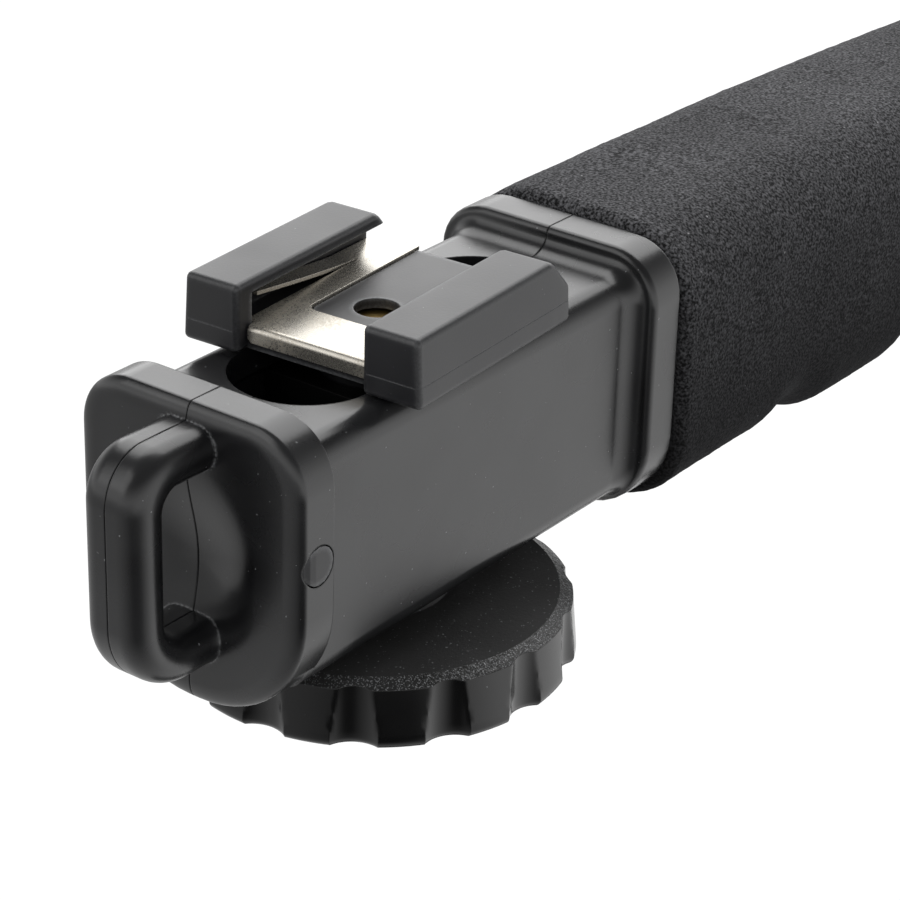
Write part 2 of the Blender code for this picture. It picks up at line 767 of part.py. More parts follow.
def strip(points, y_from, y_to, sheet):
    """A bent strip of sheet: (x, z) points of its upper face, with its thickness below them."""
    outline = points + [(x, z - sheet) for x, z in reversed(points)]
    return loft([[(x, y, z) for x, z in outline] for y in (y_from, y_to)])


def spring_plate(material):
    """The U-shaped nickel plate: a cross piece with a folded front edge, and two flat strips.

    Outside each strip a tab rises towards the front, to press a foot up against the lips.
    """
    top = channel_floor + fine_gap + spring_sheet
    front = -shoe_front_reach + spring_front
    between_posts = shoe_gap / 2 - fine_gap
    local = {"place": (shoe_x, shoe_offset, shoe_base), "turn": shoe_yaw}

    cross = strip([(front, top), (front + spring_bridge, top)], -between_posts, between_posts, spring_sheet)
    plate = add_solid("shoe_spring_plate", cross, material, **local)
    lip = box((front, -between_posts, top - spring_lip_drop), (front + spring_sheet, between_posts, top))
    combine(plate, add_solid("lip", lip, **local), "UNION")
    behind_posts = -shoe_front_reach + post_length + spring_side_gap
    strip_outer = spring_window / 2 + spring_strip
    tab_outer = channel_width / 2 - spring_side_gap
    tab_front = -shoe_front_reach + spring_tab_front
    tab_root = tab_front + spring_tab_length
    rear = shoe_rear_reach + spring_tail
    for side in (-1, 1):
        low, high = sorted((side * spring_window / 2, side * tab_outer))
        side_strip = box((behind_posts, low, top - spring_sheet), (rear, high, top))
        combine(plate, add_solid("side_strip", side_strip, **local), "UNION")
        low, high = sorted((side * strip_outer, side * (tab_outer + overrun)))
        gap_low, gap_high = top - spring_sheet - overrun, top + overrun
        gap = box((behind_posts - overrun, low, gap_low), (tab_root, high, gap_high))
        combine(plate, add_solid("slit", gap, **local))
        low, high = sorted((side * (strip_outer + spring_slit), side * tab_outer))
        bend = [(tab_front, top + spring_tab_rise)]
        bend += [(tab_root - spring_sheet, top), (tab_root + spring_sheet, top)]
        tab = strip(bend, low, high, spring_sheet)
        combine(plate, add_solid("tab", tab, **local), "UNION")


def shoe_spacer(material):
    """The block inside the bar that takes the knob's clamping force and slides with the shoe's screw."""
    half = spacer_length / 2
    width = bar_width / 2 - wall - seat_gap - shoe_offset
    low, high = bar_bottom + wall + seat_gap, bar_top - wall - seat_gap
    place = (shoe_x, shoe_offset, shoe_base)
    block = box((-half, -width, low - shoe_base), (half, width, high - shoe_base))
    spacer = add_solid("shoe_spacer", block, material, place)
    boss_room = shoe_boss_radius + fine_gap
    room = turned([(boss_room, -shoe_boss_drop - fine_gap), (boss_room, 0)], 32)
    combine(spacer, add_solid("room", room, None, place))
    stud_room = stud_radius + fine_gap
    bore = turned([(stud_room, -bar_height), (stud_room, 0)], 24)
    combine(spacer, add_solid("bore", bore, None, place))


def washer(name, material, axis, top):
    hole = stud_radius + fine_gap
    profile = [
        (washer_radius, -washer_thickness),
        (washer_radius, 0),
        (hole, 0),
        (hole, -washer_thickness),
    ]
    add_solid(name, turned(profile, 36, True), material, (*axis, top))


def knob(name, material, axis, hub_top, turn):
    """A fluted knob whose raised hub is at hub_top.

    It has a bore for its screw, a pocket for the screw's head and a seat for the cap.
    """
    face = -knob_hub_height
    bottom = face - knob_height
    bore, pocket, seat = stud_radius + fine_gap, stud_head_radius + fine_gap, cap_radius + fine_gap
    cap_seat = bottom + cap_thickness + fine_gap
    head_top = cap_seat + stud_head_height + fine_gap
    profile = [
        (bore, 0),
        (knob_hub_radius, 0),
        (knob_hub_radius, face),
        (knob_face_radius, face),
        (knob_chamfer_radius, face - knob_chamfer_drop),
        (knob_radius, bottom + knob_under_round),
        (knob_radius - knob_under_round, bottom),
        (seat, bottom),
        (seat, cap_seat),
        (pocket, cap_seat),
        (pocket, head_top),
        (bore, head_top),
    ]
    body = add_solid(name, turned(profile, knob_segments, True), material, (*axis, hub_top), turn)
    reach = knob_radius - flute_depth + flute_radius
    flutes = bmesh.new()
    for i in range(flute_count):
        angle = math.tau * i / flute_count
        ends = []
        for z in (bottom - overrun, face + overrun):
            ends.append([
                flutes.verts.new((reach * math.cos(angle) + a, reach * math.sin(angle) + b, z))
                for a, b in circle(flute_radius, flute_segments)
            ])
        for end in ends:
            flutes.faces.new(end)
        for j, low in enumerate(ends[0]):
            k = (j + 1) % len(ends[0])
            flutes.faces.new((low, ends[0][k], ends[1][k], ends[1][j]))
    combine(body, add_solid("flutes", flutes, None, (*axis, hub_top), turn))


def stud(name, material, axis, hub_top, tip, turn):
    """The screw in a knob: a hexagon head in the knob's pocket, and a shank up to its chamfered tip."""
    bottom = -knob_hub_height - knob_height
    head_low = bottom + cap_thickness + 2 * fine_gap
    head_high = head_low + stud_head_height - fine_gap
    head = turned([(stud_head_radius, head_low), (stud_head_radius, head_high)], 6)
    screw = add_solid(name, head, material, (*axis, hub_top), turn)
    end = tip - hub_top
    shank = turned([
        (stud_radius, head_low + stud_head_height / 2),
        (stud_radius, end - stud_tip_chamfer),
        (stud_radius - stud_tip_chamfer, end),
    ], 24)
    combine(screw, add_solid("shank", shank, None, (*axis, hub_top), turn), "UNION")


def cap(name, material, axis, hub_top):
    """The disc that hides the screw's head in the knob's underside."""
    bottom = -knob_hub_height - knob_height
    profile = [(cap_radius, bottom), (cap_radius, bottom + cap_thickness)]
    add_solid(name, turned(profile, 36), material, (*axis, hub_top))


def camera_guide(material):
    """The flat-sided plate in the platform's recess that keeps the camera screw in its slot."""
    low = platform_top - recess_depth + fine_gap
    outline = stadium(guide_length, recess_width - 2 * seat_gap)
    place = (camera_x, 0, low)
    plate = add_solid("camera_guide", prism(outline, 0, guide_thickness), material, place)
    bore_radius = stud_radius + fine_gap
    bore = turned([(bore_radius, -overrun), (bore_radius, guide_thickness + overrun)], 24)
    combine(plate, add_solid("bore", bore, None, place))
    return low + guide_thickness


def camera_clip(material, guide_top):
    """The retaining ring on the stud, which rests on the guide plate while the screw hangs free."""
    hole = stud_radius + fine_gap
    profile = [(clip_radius, 0), (clip_radius, clip_thickness), (hole, clip_thickness), (hole, 0)]
    add_solid("camera_clip", turned(profile, 28, True), material, (camera_x, 0, guide_top + fine_gap))


def platform_pads(material):
    outline = rounded_rectangle(pad_length, pad_width, pad_corner)
    x = platform_front_x + pad_front_inset + pad_length / 2
    low = platform_top + fine_gap
    for name, side in (("left", 1), ("right", -1)):
        place = (x, side * pad_spacing / 2, low)
        add_solid("platform_pad_" + name, prism(outline, 0, pad_thickness), material, place)


def feet(material):
    for end, x in zip(("front", "rear"), foot_places()):
        for name, side in (("left", 1), ("right", -1)):
            profile = [(foot_radius, 0), (foot_radius, foot_thickness)]
            place = (x, side * foot_spread / 2, 0)
            add_solid(f"foot_{end}_{name}", turned(profile, 24), material, place)


def case_screws(screw_material, plug_material):
    """The screws that hold the halves together, and the plugs that close their holes on the right side."""
    for name, x, z, half_width in screw_places():
        seat = -screw_seat()
        profile = [
            (screw_head_radius, seat - screw_head_height),
            (screw_head_radius, seat),
            (screw_radius, seat),
            (screw_radius, seat + screw_length),
        ]
        add_solid("case_screw_" + name, across_turned(profile, 0, 0, 16), screw_material, (x, 0, z))
        profile = [(plug_radius, -half_width), (plug_radius, plug_thickness - half_width)]
        plug = add_solid("screw_plug_" + name, across_turned(profile, 0, 0, 16), plug_material, (x, 0, z))
        if name == "flange":
            combine(plug, flange_form(), "INTERSECT")


clear_scene()
black_plastic = make_material("black_plastic", (0.035, 0.036, 0.038), 0.35)
shoe_plastic = make_material("shoe_plastic", (0.06, 0.062, 0.067), 0.45)
knob_plastic = make_material("knob_plastic", (0.02, 0.02, 0.02), 0.3)
foam = make_material("foam", (0.02, 0.02, 0.02), 0.95)
nickel = make_material("nickel", (0.75, 0.74, 0.7), 0.25, 1.0)
brass = make_material("brass", (0.75, 0.6, 0.35), 0.35, 1.0)
steel = make_material("steel", (0.6, 0.6, 0.6), 0.3, 1.0)
rubber = make_material("rubber", (0.03, 0.03, 0.03), 0.85)
inner_plastic = make_material("inner_plastic", (0.05, 0.05, 0.05), 0.5)

frame_halves(black_plastic)
foam_grip(foam)
shoe_body(shoe_plastic)
shoe_insert(brass)
spring_plate(nickel)
shoe_spacer(inner_plastic)
shoe_axis, camera_axis = (shoe_x, shoe_offset), (camera_x, 0)
washer("shoe_washer", inner_plastic, shoe_axis, washer_top)
knob("shoe_knob", knob_plastic, shoe_axis, knob_hub_top, shoe_knob_turn)
stud("shoe_stud", brass, shoe_axis, knob_hub_top, bar_top + shoe_stud_rise, shoe_knob_turn)
cap("shoe_knob_cap", knob_plastic, shoe_axis, knob_hub_top)
washer("camera_washer", inner_plastic, camera_axis, camera_washer_top)
knob("camera_knob", knob_plastic, camera_axis, camera_hub_top, 0)
stud("camera_stud", steel, camera_axis, camera_hub_top, platform_top + camera_stud_rise, 0)
cap("camera_knob_cap", knob_plastic, camera_axis, camera_hub_top)
camera_clip(steel, camera_guide(inner_plastic))
platform_pads(rubber)
feet(rubber)
case_screws(steel, black_plastic)
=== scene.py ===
# Looks of a C-shaped camera grip: satin ABS frame halves, accessory shoe, knobs and a foam sleeve.
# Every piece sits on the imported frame, which gives its place.

import math

import bmesh
import bpy
from mathutils import Matrix, Vector, noise


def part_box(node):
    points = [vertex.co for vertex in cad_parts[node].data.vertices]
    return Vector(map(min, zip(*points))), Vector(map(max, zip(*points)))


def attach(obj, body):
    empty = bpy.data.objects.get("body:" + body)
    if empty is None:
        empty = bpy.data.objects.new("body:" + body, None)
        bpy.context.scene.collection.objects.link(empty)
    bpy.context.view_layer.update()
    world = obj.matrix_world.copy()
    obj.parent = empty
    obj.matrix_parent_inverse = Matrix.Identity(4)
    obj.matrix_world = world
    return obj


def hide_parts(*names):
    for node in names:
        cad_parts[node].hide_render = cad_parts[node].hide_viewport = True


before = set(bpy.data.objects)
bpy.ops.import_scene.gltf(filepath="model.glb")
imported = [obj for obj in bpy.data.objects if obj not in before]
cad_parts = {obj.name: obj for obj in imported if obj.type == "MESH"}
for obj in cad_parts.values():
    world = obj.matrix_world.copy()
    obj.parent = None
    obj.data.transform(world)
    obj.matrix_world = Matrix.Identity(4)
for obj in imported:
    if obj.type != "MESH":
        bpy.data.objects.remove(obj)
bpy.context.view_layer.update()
mm = 0.001
print("frame loaded")


# Mesh helpers

sharpAngle = 35


def addObject(name, data):
    item = bpy.data.objects.new(name, data)
    bpy.context.scene.collection.objects.link(item)
    return item


def smooth(mesh, angle):
    mesh.shade_smooth()
    mesh.set_sharp_from_angle(angle=math.radians(angle))


def fromBmesh(name, bm, angle=32):
    bmesh.ops.recalc_face_normals(bm, faces=bm.faces)
    mesh = bpy.data.meshes.new(name)
    bm.to_mesh(mesh)
    bm.free()
    smooth(mesh, angle)
    return addObject(name, mesh)


def loft(rings, closed=False):
    # rings of equally many points, joined side by side; the ends are filled, or joined when closed
    bm = bmesh.new()
    rows = [[bm.verts.new(point) for point in ring] for ring in rings]
    pairs = list(zip(rows, rows[1:]))
    if closed:
        pairs.append((rows[-1], rows[0]))
    else:
        bm.faces.new(rows[0])
        bm.faces.new(rows[-1])
    for row, following in pairs:
        for i, point in enumerate(row):
            j = (i + 1) % len(row)
            bm.faces.new((point, row[j], following[j], following[i]))
    return bm


def sweep(end, steps, start=0):
    # (sine, cosine) of evenly spaced angles, in degrees
    angles = (math.radians(start + (end - start) * step / steps) for step in range(steps + 1))
    return [(math.sin(angle), math.cos(angle)) for angle in angles]


def arcPoints(x, z, radius, start, end, steps):
    # (x, z) points along an arc
    return [(x + radius * cosine, z + radius * sine) for sine, cosine in sweep(end, steps, start)]


def roundedRectangle(width, height, corner, lowCorner=None, steps=8):
    lowCorner = corner if lowCorner is None else lowCorner
    points = []
    for side, level, radius, start in (
        (1, 1, corner, 0), (-1, 1, corner, 90), (-1, -1, lowCorner, 180), (1, -1, lowCorner, 270),
    ):
        across, up = side * (width / 2 - radius), level * (height / 2 - radius)
        points += arcPoints(across, up, radius, start, start + 90, steps)
    return points


def stadium(length, width, steps=24):
    half = (length - width) / 2
    return arcPoints(half, 0, width / 2, -90, 90, steps) + arcPoints(-half, 0, width / 2, 90, 270, steps)


def ringPoints(radius, count):
    angles = (math.tau * i / count for i in range(count))
    return [(radius * math.cos(angle), radius * math.sin(angle)) for angle in angles]


def prism(outline, low, high, x=0):
    return loft([[(x + a, b, z) for a, b in outline] for z in (low, high)])


def block(low, high):
    bm = bmesh.new()
    size = Vector(high) - Vector(low)
    middle = (Vector(high) + Vector(low)) / 2
    bmesh.ops.create_cube(bm, size=1, matrix=Matrix.Translation(middle) @ Matrix.Diagonal((*size, 1)))
    return bm


def turned(radius, low, high, count=64):
    return prism(ringPoints(radius, count), low, high)


def combine(target, tool, operation="DIFFERENCE"):
    # the tool, an object or still a bmesh, is used up
    if isinstance(tool, bmesh.types.BMesh):
        tool = fromBmesh("tool", tool)
    modifier = target.modifiers.new("Combine", "BOOLEAN")
    modifier.operation = operation
    modifier.object = tool
    modifier.solver = "MANIFOLD"
    bpy.context.view_layer.update()
    mesh = bpy.data.meshes.new_from_object(target.evaluated_get(bpy.context.evaluated_depsgraph_get()))
    target.modifiers.clear()
    target.data = mesh
    bpy.data.objects.remove(tool)
    return target


def weightNormals(item, angle=sharpAngle):
    # flat faces stay flat beside their rounded edges
    smooth(item.data, angle)
    modifier = item.modifiers.new("Normals", "WEIGHTED_NORMAL")
    modifier.mode = "FACE_AREA"
    modifier.weight = 100  # the largest face decides
    modifier.keep_sharp = True


# Node helpers

def toLinear(code):
    values = [int(code[i : i + 2], 16) / 255 for i in (1, 3, 5)]
    return [v / 12.92 if v <= 0.04045 else ((v + 0.055) / 1.055) ** 2.4 for v in values] + [1.0]


def setUp(node, settings):
    # attributes by name, or socket values by index or name, with colours as sRGB hex
    for key, value in settings.items():
        if isinstance(key, str) and hasattr(node, key) and key not in node.inputs:
            setattr(node, key, value)
        else:
            isHex = isinstance(value, str) and value.startswith("#")
            node.inputs[key].default_value = toLinear(value) if isHex else value


def joinUp(tree, node, links):
    # sockets by index or name, each to an output, or to a node's first output in use
    for key, source in links.items():
        if isinstance(source, bpy.types.Node):
            source = next(output for output in source.outputs if output.enabled)
        tree.links.new(source, node.inputs[key])


def addNode(tree, kind, settings=None, links=None):
    node = tree.nodes.new("ShaderNode" + kind)
    setUp(node, settings or {})
    joinUp(tree, node, links or {})
    return node


def newMaterial(name, settings, patterns=()):
    # its patterns are noises in the piece's own space: (grain size in mm, detail, seed) of each
    material = bpy.data.materials.new(name)
    material.use_nodes = True
    tree = material.node_tree
    shader = tree.nodes["Principled BSDF"]
    setUp(shader, settings)
    place = addNode(tree, "TexCoord").outputs["Object"]
    noises = []
    for sizeMm, detail, seed in patterns:
        values = {"noise_dimensions": "4D", "Scale": 1 / (sizeMm * mm), "Detail": detail, "W": seed}
        noises.append(addNode(tree, "TexNoise", values, {"Vector": place}))
    return material, tree, shader, place, noises


# Materials. A range such as {1: 0.35, 2: 0.7} goes to a Map Range: 1 and 2 are its from, 3 and 4 its to

rgba = {"data_type": "RGBA"}  # makes a Mix node's factor socket 0 and its colours sockets 6 and 7

absSkin = {
    "ior": 1.54,
    "reliefMm": 0.02, "waveMm": 7.0, "wavyMm": 0.02, "edgeMm": 0.16,
    "cloudMm": 9.0, "wornRange": {1: 0.35, 2: 0.7},
    "roughRange": {1: 0.3, 2: 0.75}, "smoother": 0.03, "rougher": 0.05,
    # the dust's colour, which also paints the pale edges' highlight
    "dust": "#9a9c9e",
    "dustFrom": 0.87,  # the higher, the fewer specks
    "speckMm": 0.3, "speckEdge": 0.015, "speckCover": 0.7,
    "crevice": 0.0,  # how much dust lies in the corners
    "cornerMm": 0.45,  # how far it reaches out of them
    "cornerRange": {1: 0.85, 2: 0.5}, "cornerGrain": {1: 0.4, 2: 0.62},
    "film": 0.0, "filmRange": {1: 0.32, 2: 0.68},
    "wearAndHighlight": 0.0,  # how pale the edges are, from wear and a painted highlight
    "wearHighlightMm": 0.6, "wearHighlightRange": {1: 0.92, 2: 0.55}, "wearHighlightGrain": {1: 0.3, 2: 0.6, 3: 0.3},
}
satin = {
    "colour": "#0e0e10", "worn": "#141416", "roughness": 0.26, "gloss": 0.78, "grainMm": 0.28, "bump": 0.22,
    "wavyMm": 0.035, "edgeMm": 0.2, "crevice": 0.75, "dustFrom": 0.85, "film": 0.045, "speckMm": 0.26,
}
matt = {
    "colour": "#17171a", "worn": "#1e1e22", "roughness": 0.4, "gloss": 0.66, "grainMm": 0.22, "bump": 0.45,
    "crevice": 0.25, "dustFrom": 0.86, "wearAndHighlight": 0.5, "film": 0.02, "speckMm": 0.24,
}
eroded = {
    "colour": "#323232", "worn": "#3c3c3c", "roughness": 0.5, "gloss": 0.6, "grainMm": 0.3, "bump": 0.8,
    "reliefMm": 0.03, "wavyMm": 0.03, "edgeMm": 0.1, "crevice": 0.5, "dustFrom": 0.77, "film": 0.03,
    "speckMm": 0.18,
}
polished = {
    "colour": "#070708", "worn": "#0a0a0b", "roughness": 0.16, "gloss": 0.66, "grainMm": 0.6, "bump": 0.04,
}
coarse = {
    "colour": "#2a2a2a", "worn": "#3a3a3a", "roughness": 0.3, "gloss": 0.55, "grainMm": 0.34, "bump": 1.0,
    "reliefMm": 0.1, "wavyMm": 0.0, "edgeMm": 0.08, "dustFrom": 0.62, "speckMm": 0.13,
}
# black nylon, made darker than it is as painted shade, so the shoe's slot reads black inside
paintedShadeNylon = {
    "colour": "#070707", "worn": "#0a0a0a", "roughness": 0.5, "gloss": 0.25, "grainMm": 0.4, "bump": 0.2,
    "edgeMm": 0.15,
}


def mouldedAbs(name, changes):
    # moulded black ABS: nearly black itself, so the eye reads the room in its skin. The tool's fine grain
    # blurs what it mirrors, a slow waviness bends it, edges are paled by wear and a painted highlight, and
    # dust lies on it as a cloudy film, in specks and in its corners
    finish = {**absSkin, **changes}
    look = {"IOR": finish["ior"], "Specular IOR Level": finish["gloss"]}
    material, tree, shader, _, (clouds, fine, specks, waves) = newMaterial(name, look, (
        (finish["cloudMm"], 3, 1), (finish["grainMm"], 3, 2),
        (finish["speckMm"], 0, 3), (finish["waveMm"], 1, 4),
    ))
    worn = addNode(tree, "MapRange", finish["wornRange"], {0: clouds})
    base = addNode(tree, "Mix", {**rgba, 6: finish["colour"], 7: finish["worn"]}, {0: worn})
    start = finish["dustFrom"]
    speckRange = {1: start, 2: start + finish["speckEdge"], 4: finish["speckCover"]}
    local = {"samples": 6, "only_local": True}
    corners = addNode(tree, "AmbientOcclusion", {**local, "Distance": finish["cornerMm"] * mm}).outputs["AO"]
    swept = addNode(tree, "Math", {"operation": "MULTIPLY_ADD"}, {
        0: addNode(tree, "MapRange", {**finish["cornerRange"], 4: finish["crevice"]}, {0: corners}),
        1: addNode(tree, "MapRange", finish["cornerGrain"], {0: fine}),
        2: addNode(tree, "MapRange", {**finish["filmRange"], 4: finish["film"]}, {0: waves}),
    })
    lying = addNode(tree, "MapRange", speckRange, {0: specks})
    dust = addNode(tree, "Math", {"operation": "MAXIMUM"}, {0: lying, 1: swept})
    # pale edges: partly wear, partly a painted highlight, mixed into the dust and given the dust's colour
    if finish["wearAndHighlight"]:
        inside = {**local, "inside": True, "Distance": finish["wearHighlightMm"] * mm}
        edges = addNode(tree, "AmbientOcclusion", inside).outputs["AO"]
        wearAndHighlight = addNode(tree, "Math", {"operation": "MULTIPLY"}, {
            0: addNode(tree, "MapRange", {**finish["wearHighlightRange"], 4: finish["wearAndHighlight"]}, {0: edges}),
            1: addNode(tree, "MapRange", finish["wearHighlightGrain"], {0: fine}),
        })
        dust = addNode(tree, "Math", {"operation": "MAXIMUM"}, {0: dust, 1: wearAndHighlight})
    roughRange = {3: finish["roughness"] - finish["smoother"], 4: finish["roughness"] + finish["rougher"]}
    rounded = addNode(tree, "Bevel", {"samples": 6, "Radius": finish["edgeMm"] * mm})
    swell = {"Strength": 1.0, "Distance": finish["wavyMm"] * mm}
    slow = addNode(tree, "Bump", swell, {"Height": waves, "Normal": rounded})
    relief = {"Strength": finish["bump"], "Distance": finish["reliefMm"] * mm}
    joinUp(tree, shader, {
        "Base Color": addNode(tree, "Mix", {**rgba, 7: finish["dust"]}, {0: dust, 6: base}),
        "Roughness": addNode(tree, "MapRange", {**finish["roughRange"], **roughRange}, {0: clouds}),
        "Normal": addNode(tree, "Bump", relief, {"Height": fine, "Normal": slow}),
    })
    return material


plating = {
    "scratchMm": (5.0, 0.1, 0.5),  # long in the channel's direction, close together across it
    "clean": "#d6d1c7",
    "stained": "#b3a791",
    "cloudMm": 5.0,
    "cloudRange": {1: 0.42, 2: 0.64, 3: 0.12, 4: 0.75},
    "gritMm": 0.16,
    "gritRange": {1: 0.38, 2: 0.72},
    "roughness": {1: 0.0, 2: 0.7, 3: 0.26, 4: 0.45},
    "metallic": {1: 0.05, 2: 0.6, 3: 0.86, 4: 0.45},
    "edgeMm": 0.08,
    "scratches": {"Strength": 0.3, "Distance": 0.01 * mm},
}


def nickelPlate():
    # nickel-plated spring steel, punched and bent: a warm, hazy mirror with fine scratches along the
    # channel, duller and browner where feet have rubbed grit over it
    patterns = ((plating["cloudMm"], 3, 5), (plating["gritMm"], 2, 6))
    material, tree, shader, place, (clouds, grit) = newMaterial("nickelPlate", {}, patterns)
    scale = [1 / (size * mm) for size in plating["scratchMm"]]
    stretch = addNode(tree, "Mapping", {"Scale": scale}, {"Vector": place})
    lines = addNode(tree, "TexNoise", {"Scale": 1.0, "Detail": 3.0}, {"Vector": stretch})
    stain = addNode(tree, "Math", {"operation": "MULTIPLY"}, {
        0: addNode(tree, "MapRange", plating["cloudRange"], {0: clouds}),
        1: addNode(tree, "MapRange", plating["gritRange"], {0: grit}),
    })
    colours = {**rgba, 6: plating["clean"], 7: plating["stained"]}
    rounded = addNode(tree, "Bevel", {"samples": 6, "Radius": plating["edgeMm"] * mm})
    joinUp(tree, shader, {
        "Base Color": addNode(tree, "Mix", colours, {0: stain}),
        "Roughness": addNode(tree, "MapRange", plating["roughness"], {0: stain}),
        "Metallic": addNode(tree, "MapRange", plating["metallic"], {0: stain}),
        "Normal": addNode(tree, "Bump", plating["scratches"], {"Height": lines, "Normal": rounded}),
    })
    return material


turning = {
    "rings": {"wave_type": "RINGS", "rings_direction": "Z", "Scale": 1 / (1.2 * mm), "Distortion": 0.4},
    "bump": {"Strength": 0.25, "Distance": 0.01 * mm},
}


def turnedMetal(name, colour, roughness, centre):
    # a machined end: fine rings round the tool's axis, which catch the light as a soft cross
    look = {"Metallic": 1.0, "Base Color": colour, "Roughness": roughness}
    material, tree, shader, place, _ = newMaterial(name, look)
    shift = addNode(tree, "VectorMath", {"operation": "SUBTRACT", 1: centre}, {0: place})
    rings = addNode(tree, "TexWave", turning["rings"], {"Vector": shift}).outputs["Fac"]
    joinUp(tree, shader, {"Normal": addNode(tree, "Bump", turning["bump"], {"Height": rings})})
    return material


foamSkin = {
    "shader": {
        "IOR": 1.45, "Roughness": 0.95, "Specular IOR Level": 0.25, "Sheen Weight": 0.12,
        "Sheen Roughness": 0.45, "Sheen Tint": "#9a9aa0",
    },
    "cellMm": 0.26,
    "cellRange": {1: 0.4, 2: 0.68},
    "cellColours": {6: "#1c1c1d", 7: "#757578"},
    "cellBump": {"Strength": 0.8, "Distance": 0.16 * mm},
    "tuftMm": 1.6,
    "tuftBump": {"Strength": 0.35, "Distance": 0.2 * mm},
    "cloudMm": 14.0,
    "cloudRange": {1: 0.3, 2: 0.7},
    "cloudColours": {6: "#b0b0b0", 7: "#ffffff"},
    "cloudShare": 0.5,
    "paintedShadeColours": {6: "#707070", 7: "#ffffff"},  # painted shade: the sleeve is darker the lower it lies
    "lintMm": 0.4,
    "lintRange": {1: 0.84, 2: 0.86, 4: 0.8},
    "lint": "#a8a8aa",
}


def cutFoam():
    # closed-cell foam sleeve, ground to shape: a velvety black skin of cut cells a quarter of a millimetre
    # wide, whose torn edges catch the light, with crumbs of lint, and painted shade darkening it towards the
    # bottom
    skin = foamSkin
    material, tree, shader, place, (cells, tufts, clouds, lint) = newMaterial("nitrileFoam", skin["shader"], (
        (skin["cellMm"], 3, 7), (skin["tuftMm"], 3, 10), (skin["cloudMm"], 3, 8), (skin["lintMm"], 0, 9),
    ))
    height = addNode(tree, "SeparateXYZ", {}, {"Vector": place}).outputs["Z"]
    mixed = None
    for pattern, limits, colours, cover in (
        (cells, skin["cellRange"], skin["cellColours"], 1.0),
        (clouds, skin["cloudRange"], skin["cloudColours"], skin["cloudShare"]),
        # painted shade: darker towards the bottom
        (height, {1: barLow, 2: barTop - foam["sag"]}, skin["paintedShadeColours"], 1.0),
    ):
        share = addNode(tree, "MapRange", limits, {0: pattern})
        layer = addNode(tree, "Mix", {**rgba, **colours}, {0: share})
        if mixed:
            layer = addNode(tree, "Mix", {**rgba, "blend_type": "MULTIPLY", 0: cover}, {6: mixed, 7: layer})
        mixed = layer
    dust = addNode(tree, "MapRange", skin["lintRange"], {0: lint})
    soft = addNode(tree, "Bump", skin["tuftBump"], {"Height": tufts})
    joinUp(tree, shader, {
        "Base Color": addNode(tree, "Mix", {**rgba, 7: skin["lint"]}, {0: dust, 6: mixed}),
        "Normal": addNode(tree, "Bump", skin["cellBump"], {"Height": cells, "Normal": soft}),
    })
    return material


rubberSkin = {
    "cloudMm": 6.0,
    "bloomRange": {1: 0.3, 2: 0.75},
    "colours": {6: "#151515", 7: "#262627"},
    "roughness": {1: 0.3, 2: 0.7, 3: 0.72, 4: 0.88},
    "grainMm": 0.3,
    "edgeMm": 0.3,
    "bump": {"Strength": 0.4, "Distance": 0.05 * mm},
}


def mouldedRubber():
    # moulded rubber, matt, with a faint dusty bloom
    skin = rubberSkin
    look = {"IOR": 1.5, "Specular IOR Level": 0.35}
    patterns = ((skin["cloudMm"], 4, 11), (skin["grainMm"], 3, 12))
    material, tree, shader, _, (clouds, fine) = newMaterial("mouldedRubber", look, patterns)
    bloom = addNode(tree, "MapRange", skin["bloomRange"], {0: clouds})
    rounded = addNode(tree, "Bevel", {"samples": 4, "Radius": skin["edgeMm"] * mm})
    joinUp(tree, shader, {
        "Base Color": addNode(tree, "Mix", {**rgba, **skin["colours"]}, {0: bloom}),
        "Roughness": addNode(tree, "MapRange", skin["roughness"], {0: clouds}),
        "Normal": addNode(tree, "Bump", skin["bump"], {"Height": fine, "Normal": rounded}),
    })
    return material


def paint(item, material):
    item.data.materials.clear()
    item.data.materials.append(material)


def dress(item, material, body, node):
    paint(item, material)
    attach(item, body)
    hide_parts(node)


# Frame halves

bar = {
    "width": 19.5 * mm, "height": 21.5 * mm, "length": 41.7 * mm,
    "corner": 2.2 * mm, "innerCorner": 0.8 * mm, "wall": 2.6 * mm,
    "seam": 0.1 * mm,
}

flange = {
    "width": 23.4 * mm, "thickness": 4.3 * mm, "topRise": 2.4 * mm, "bottomDrop": 3.0 * mm,
    "topCorner": 5.2 * mm, "lowCorner": 11.2 * mm,
    "edge": 1.9 * mm, "edgeDepth": 0.9 * mm, "backEdge": 0.2 * mm,
    "dishWidth": 14.0 * mm, "dishHeight": 18.0 * mm, "dishDepth": 1.3 * mm, "dishDrop": 11.6 * mm,
    "dishCornerShare": 0.475, "dishRings": 16,
}

strapLoop = {
    "reach": 9.35 * mm, "width": 6.2 * mm, "topRise": 0.95 * mm, "lowRise": 1.15 * mm,
    "bar": 4.3 * mm, "upperBar": 3.9 * mm, "root": 4.0 * mm,
    "corner": 2.05 * mm, "cornerShare": 0.48,
    "upperBend": 4.4 * mm, "lowerBend": 6.5 * mm, "upperCorner": 1.5 * mm, "lowerCorner": 2.3 * mm,
    "flare": 1.6 * mm, "flareLength": 2.2 * mm,  # the lower bar spreads where it meets the flange
    "flareTurn": 88,  # degrees
}

collar = {
    "length": 6.5 * mm, "proud": 2.15 * mm, "rim": 3.6 * mm,
    "hollowShare": 0.76,  # of the rise's length, and then of its height, up to the rounded top
    "hollowHeightShare": 0.67,
    "hollowTurn": 86,  # degrees
    "cornerShare": 1.25, "lowCorner": 7.4 * mm, "backEdge": 0.35 * mm,
}

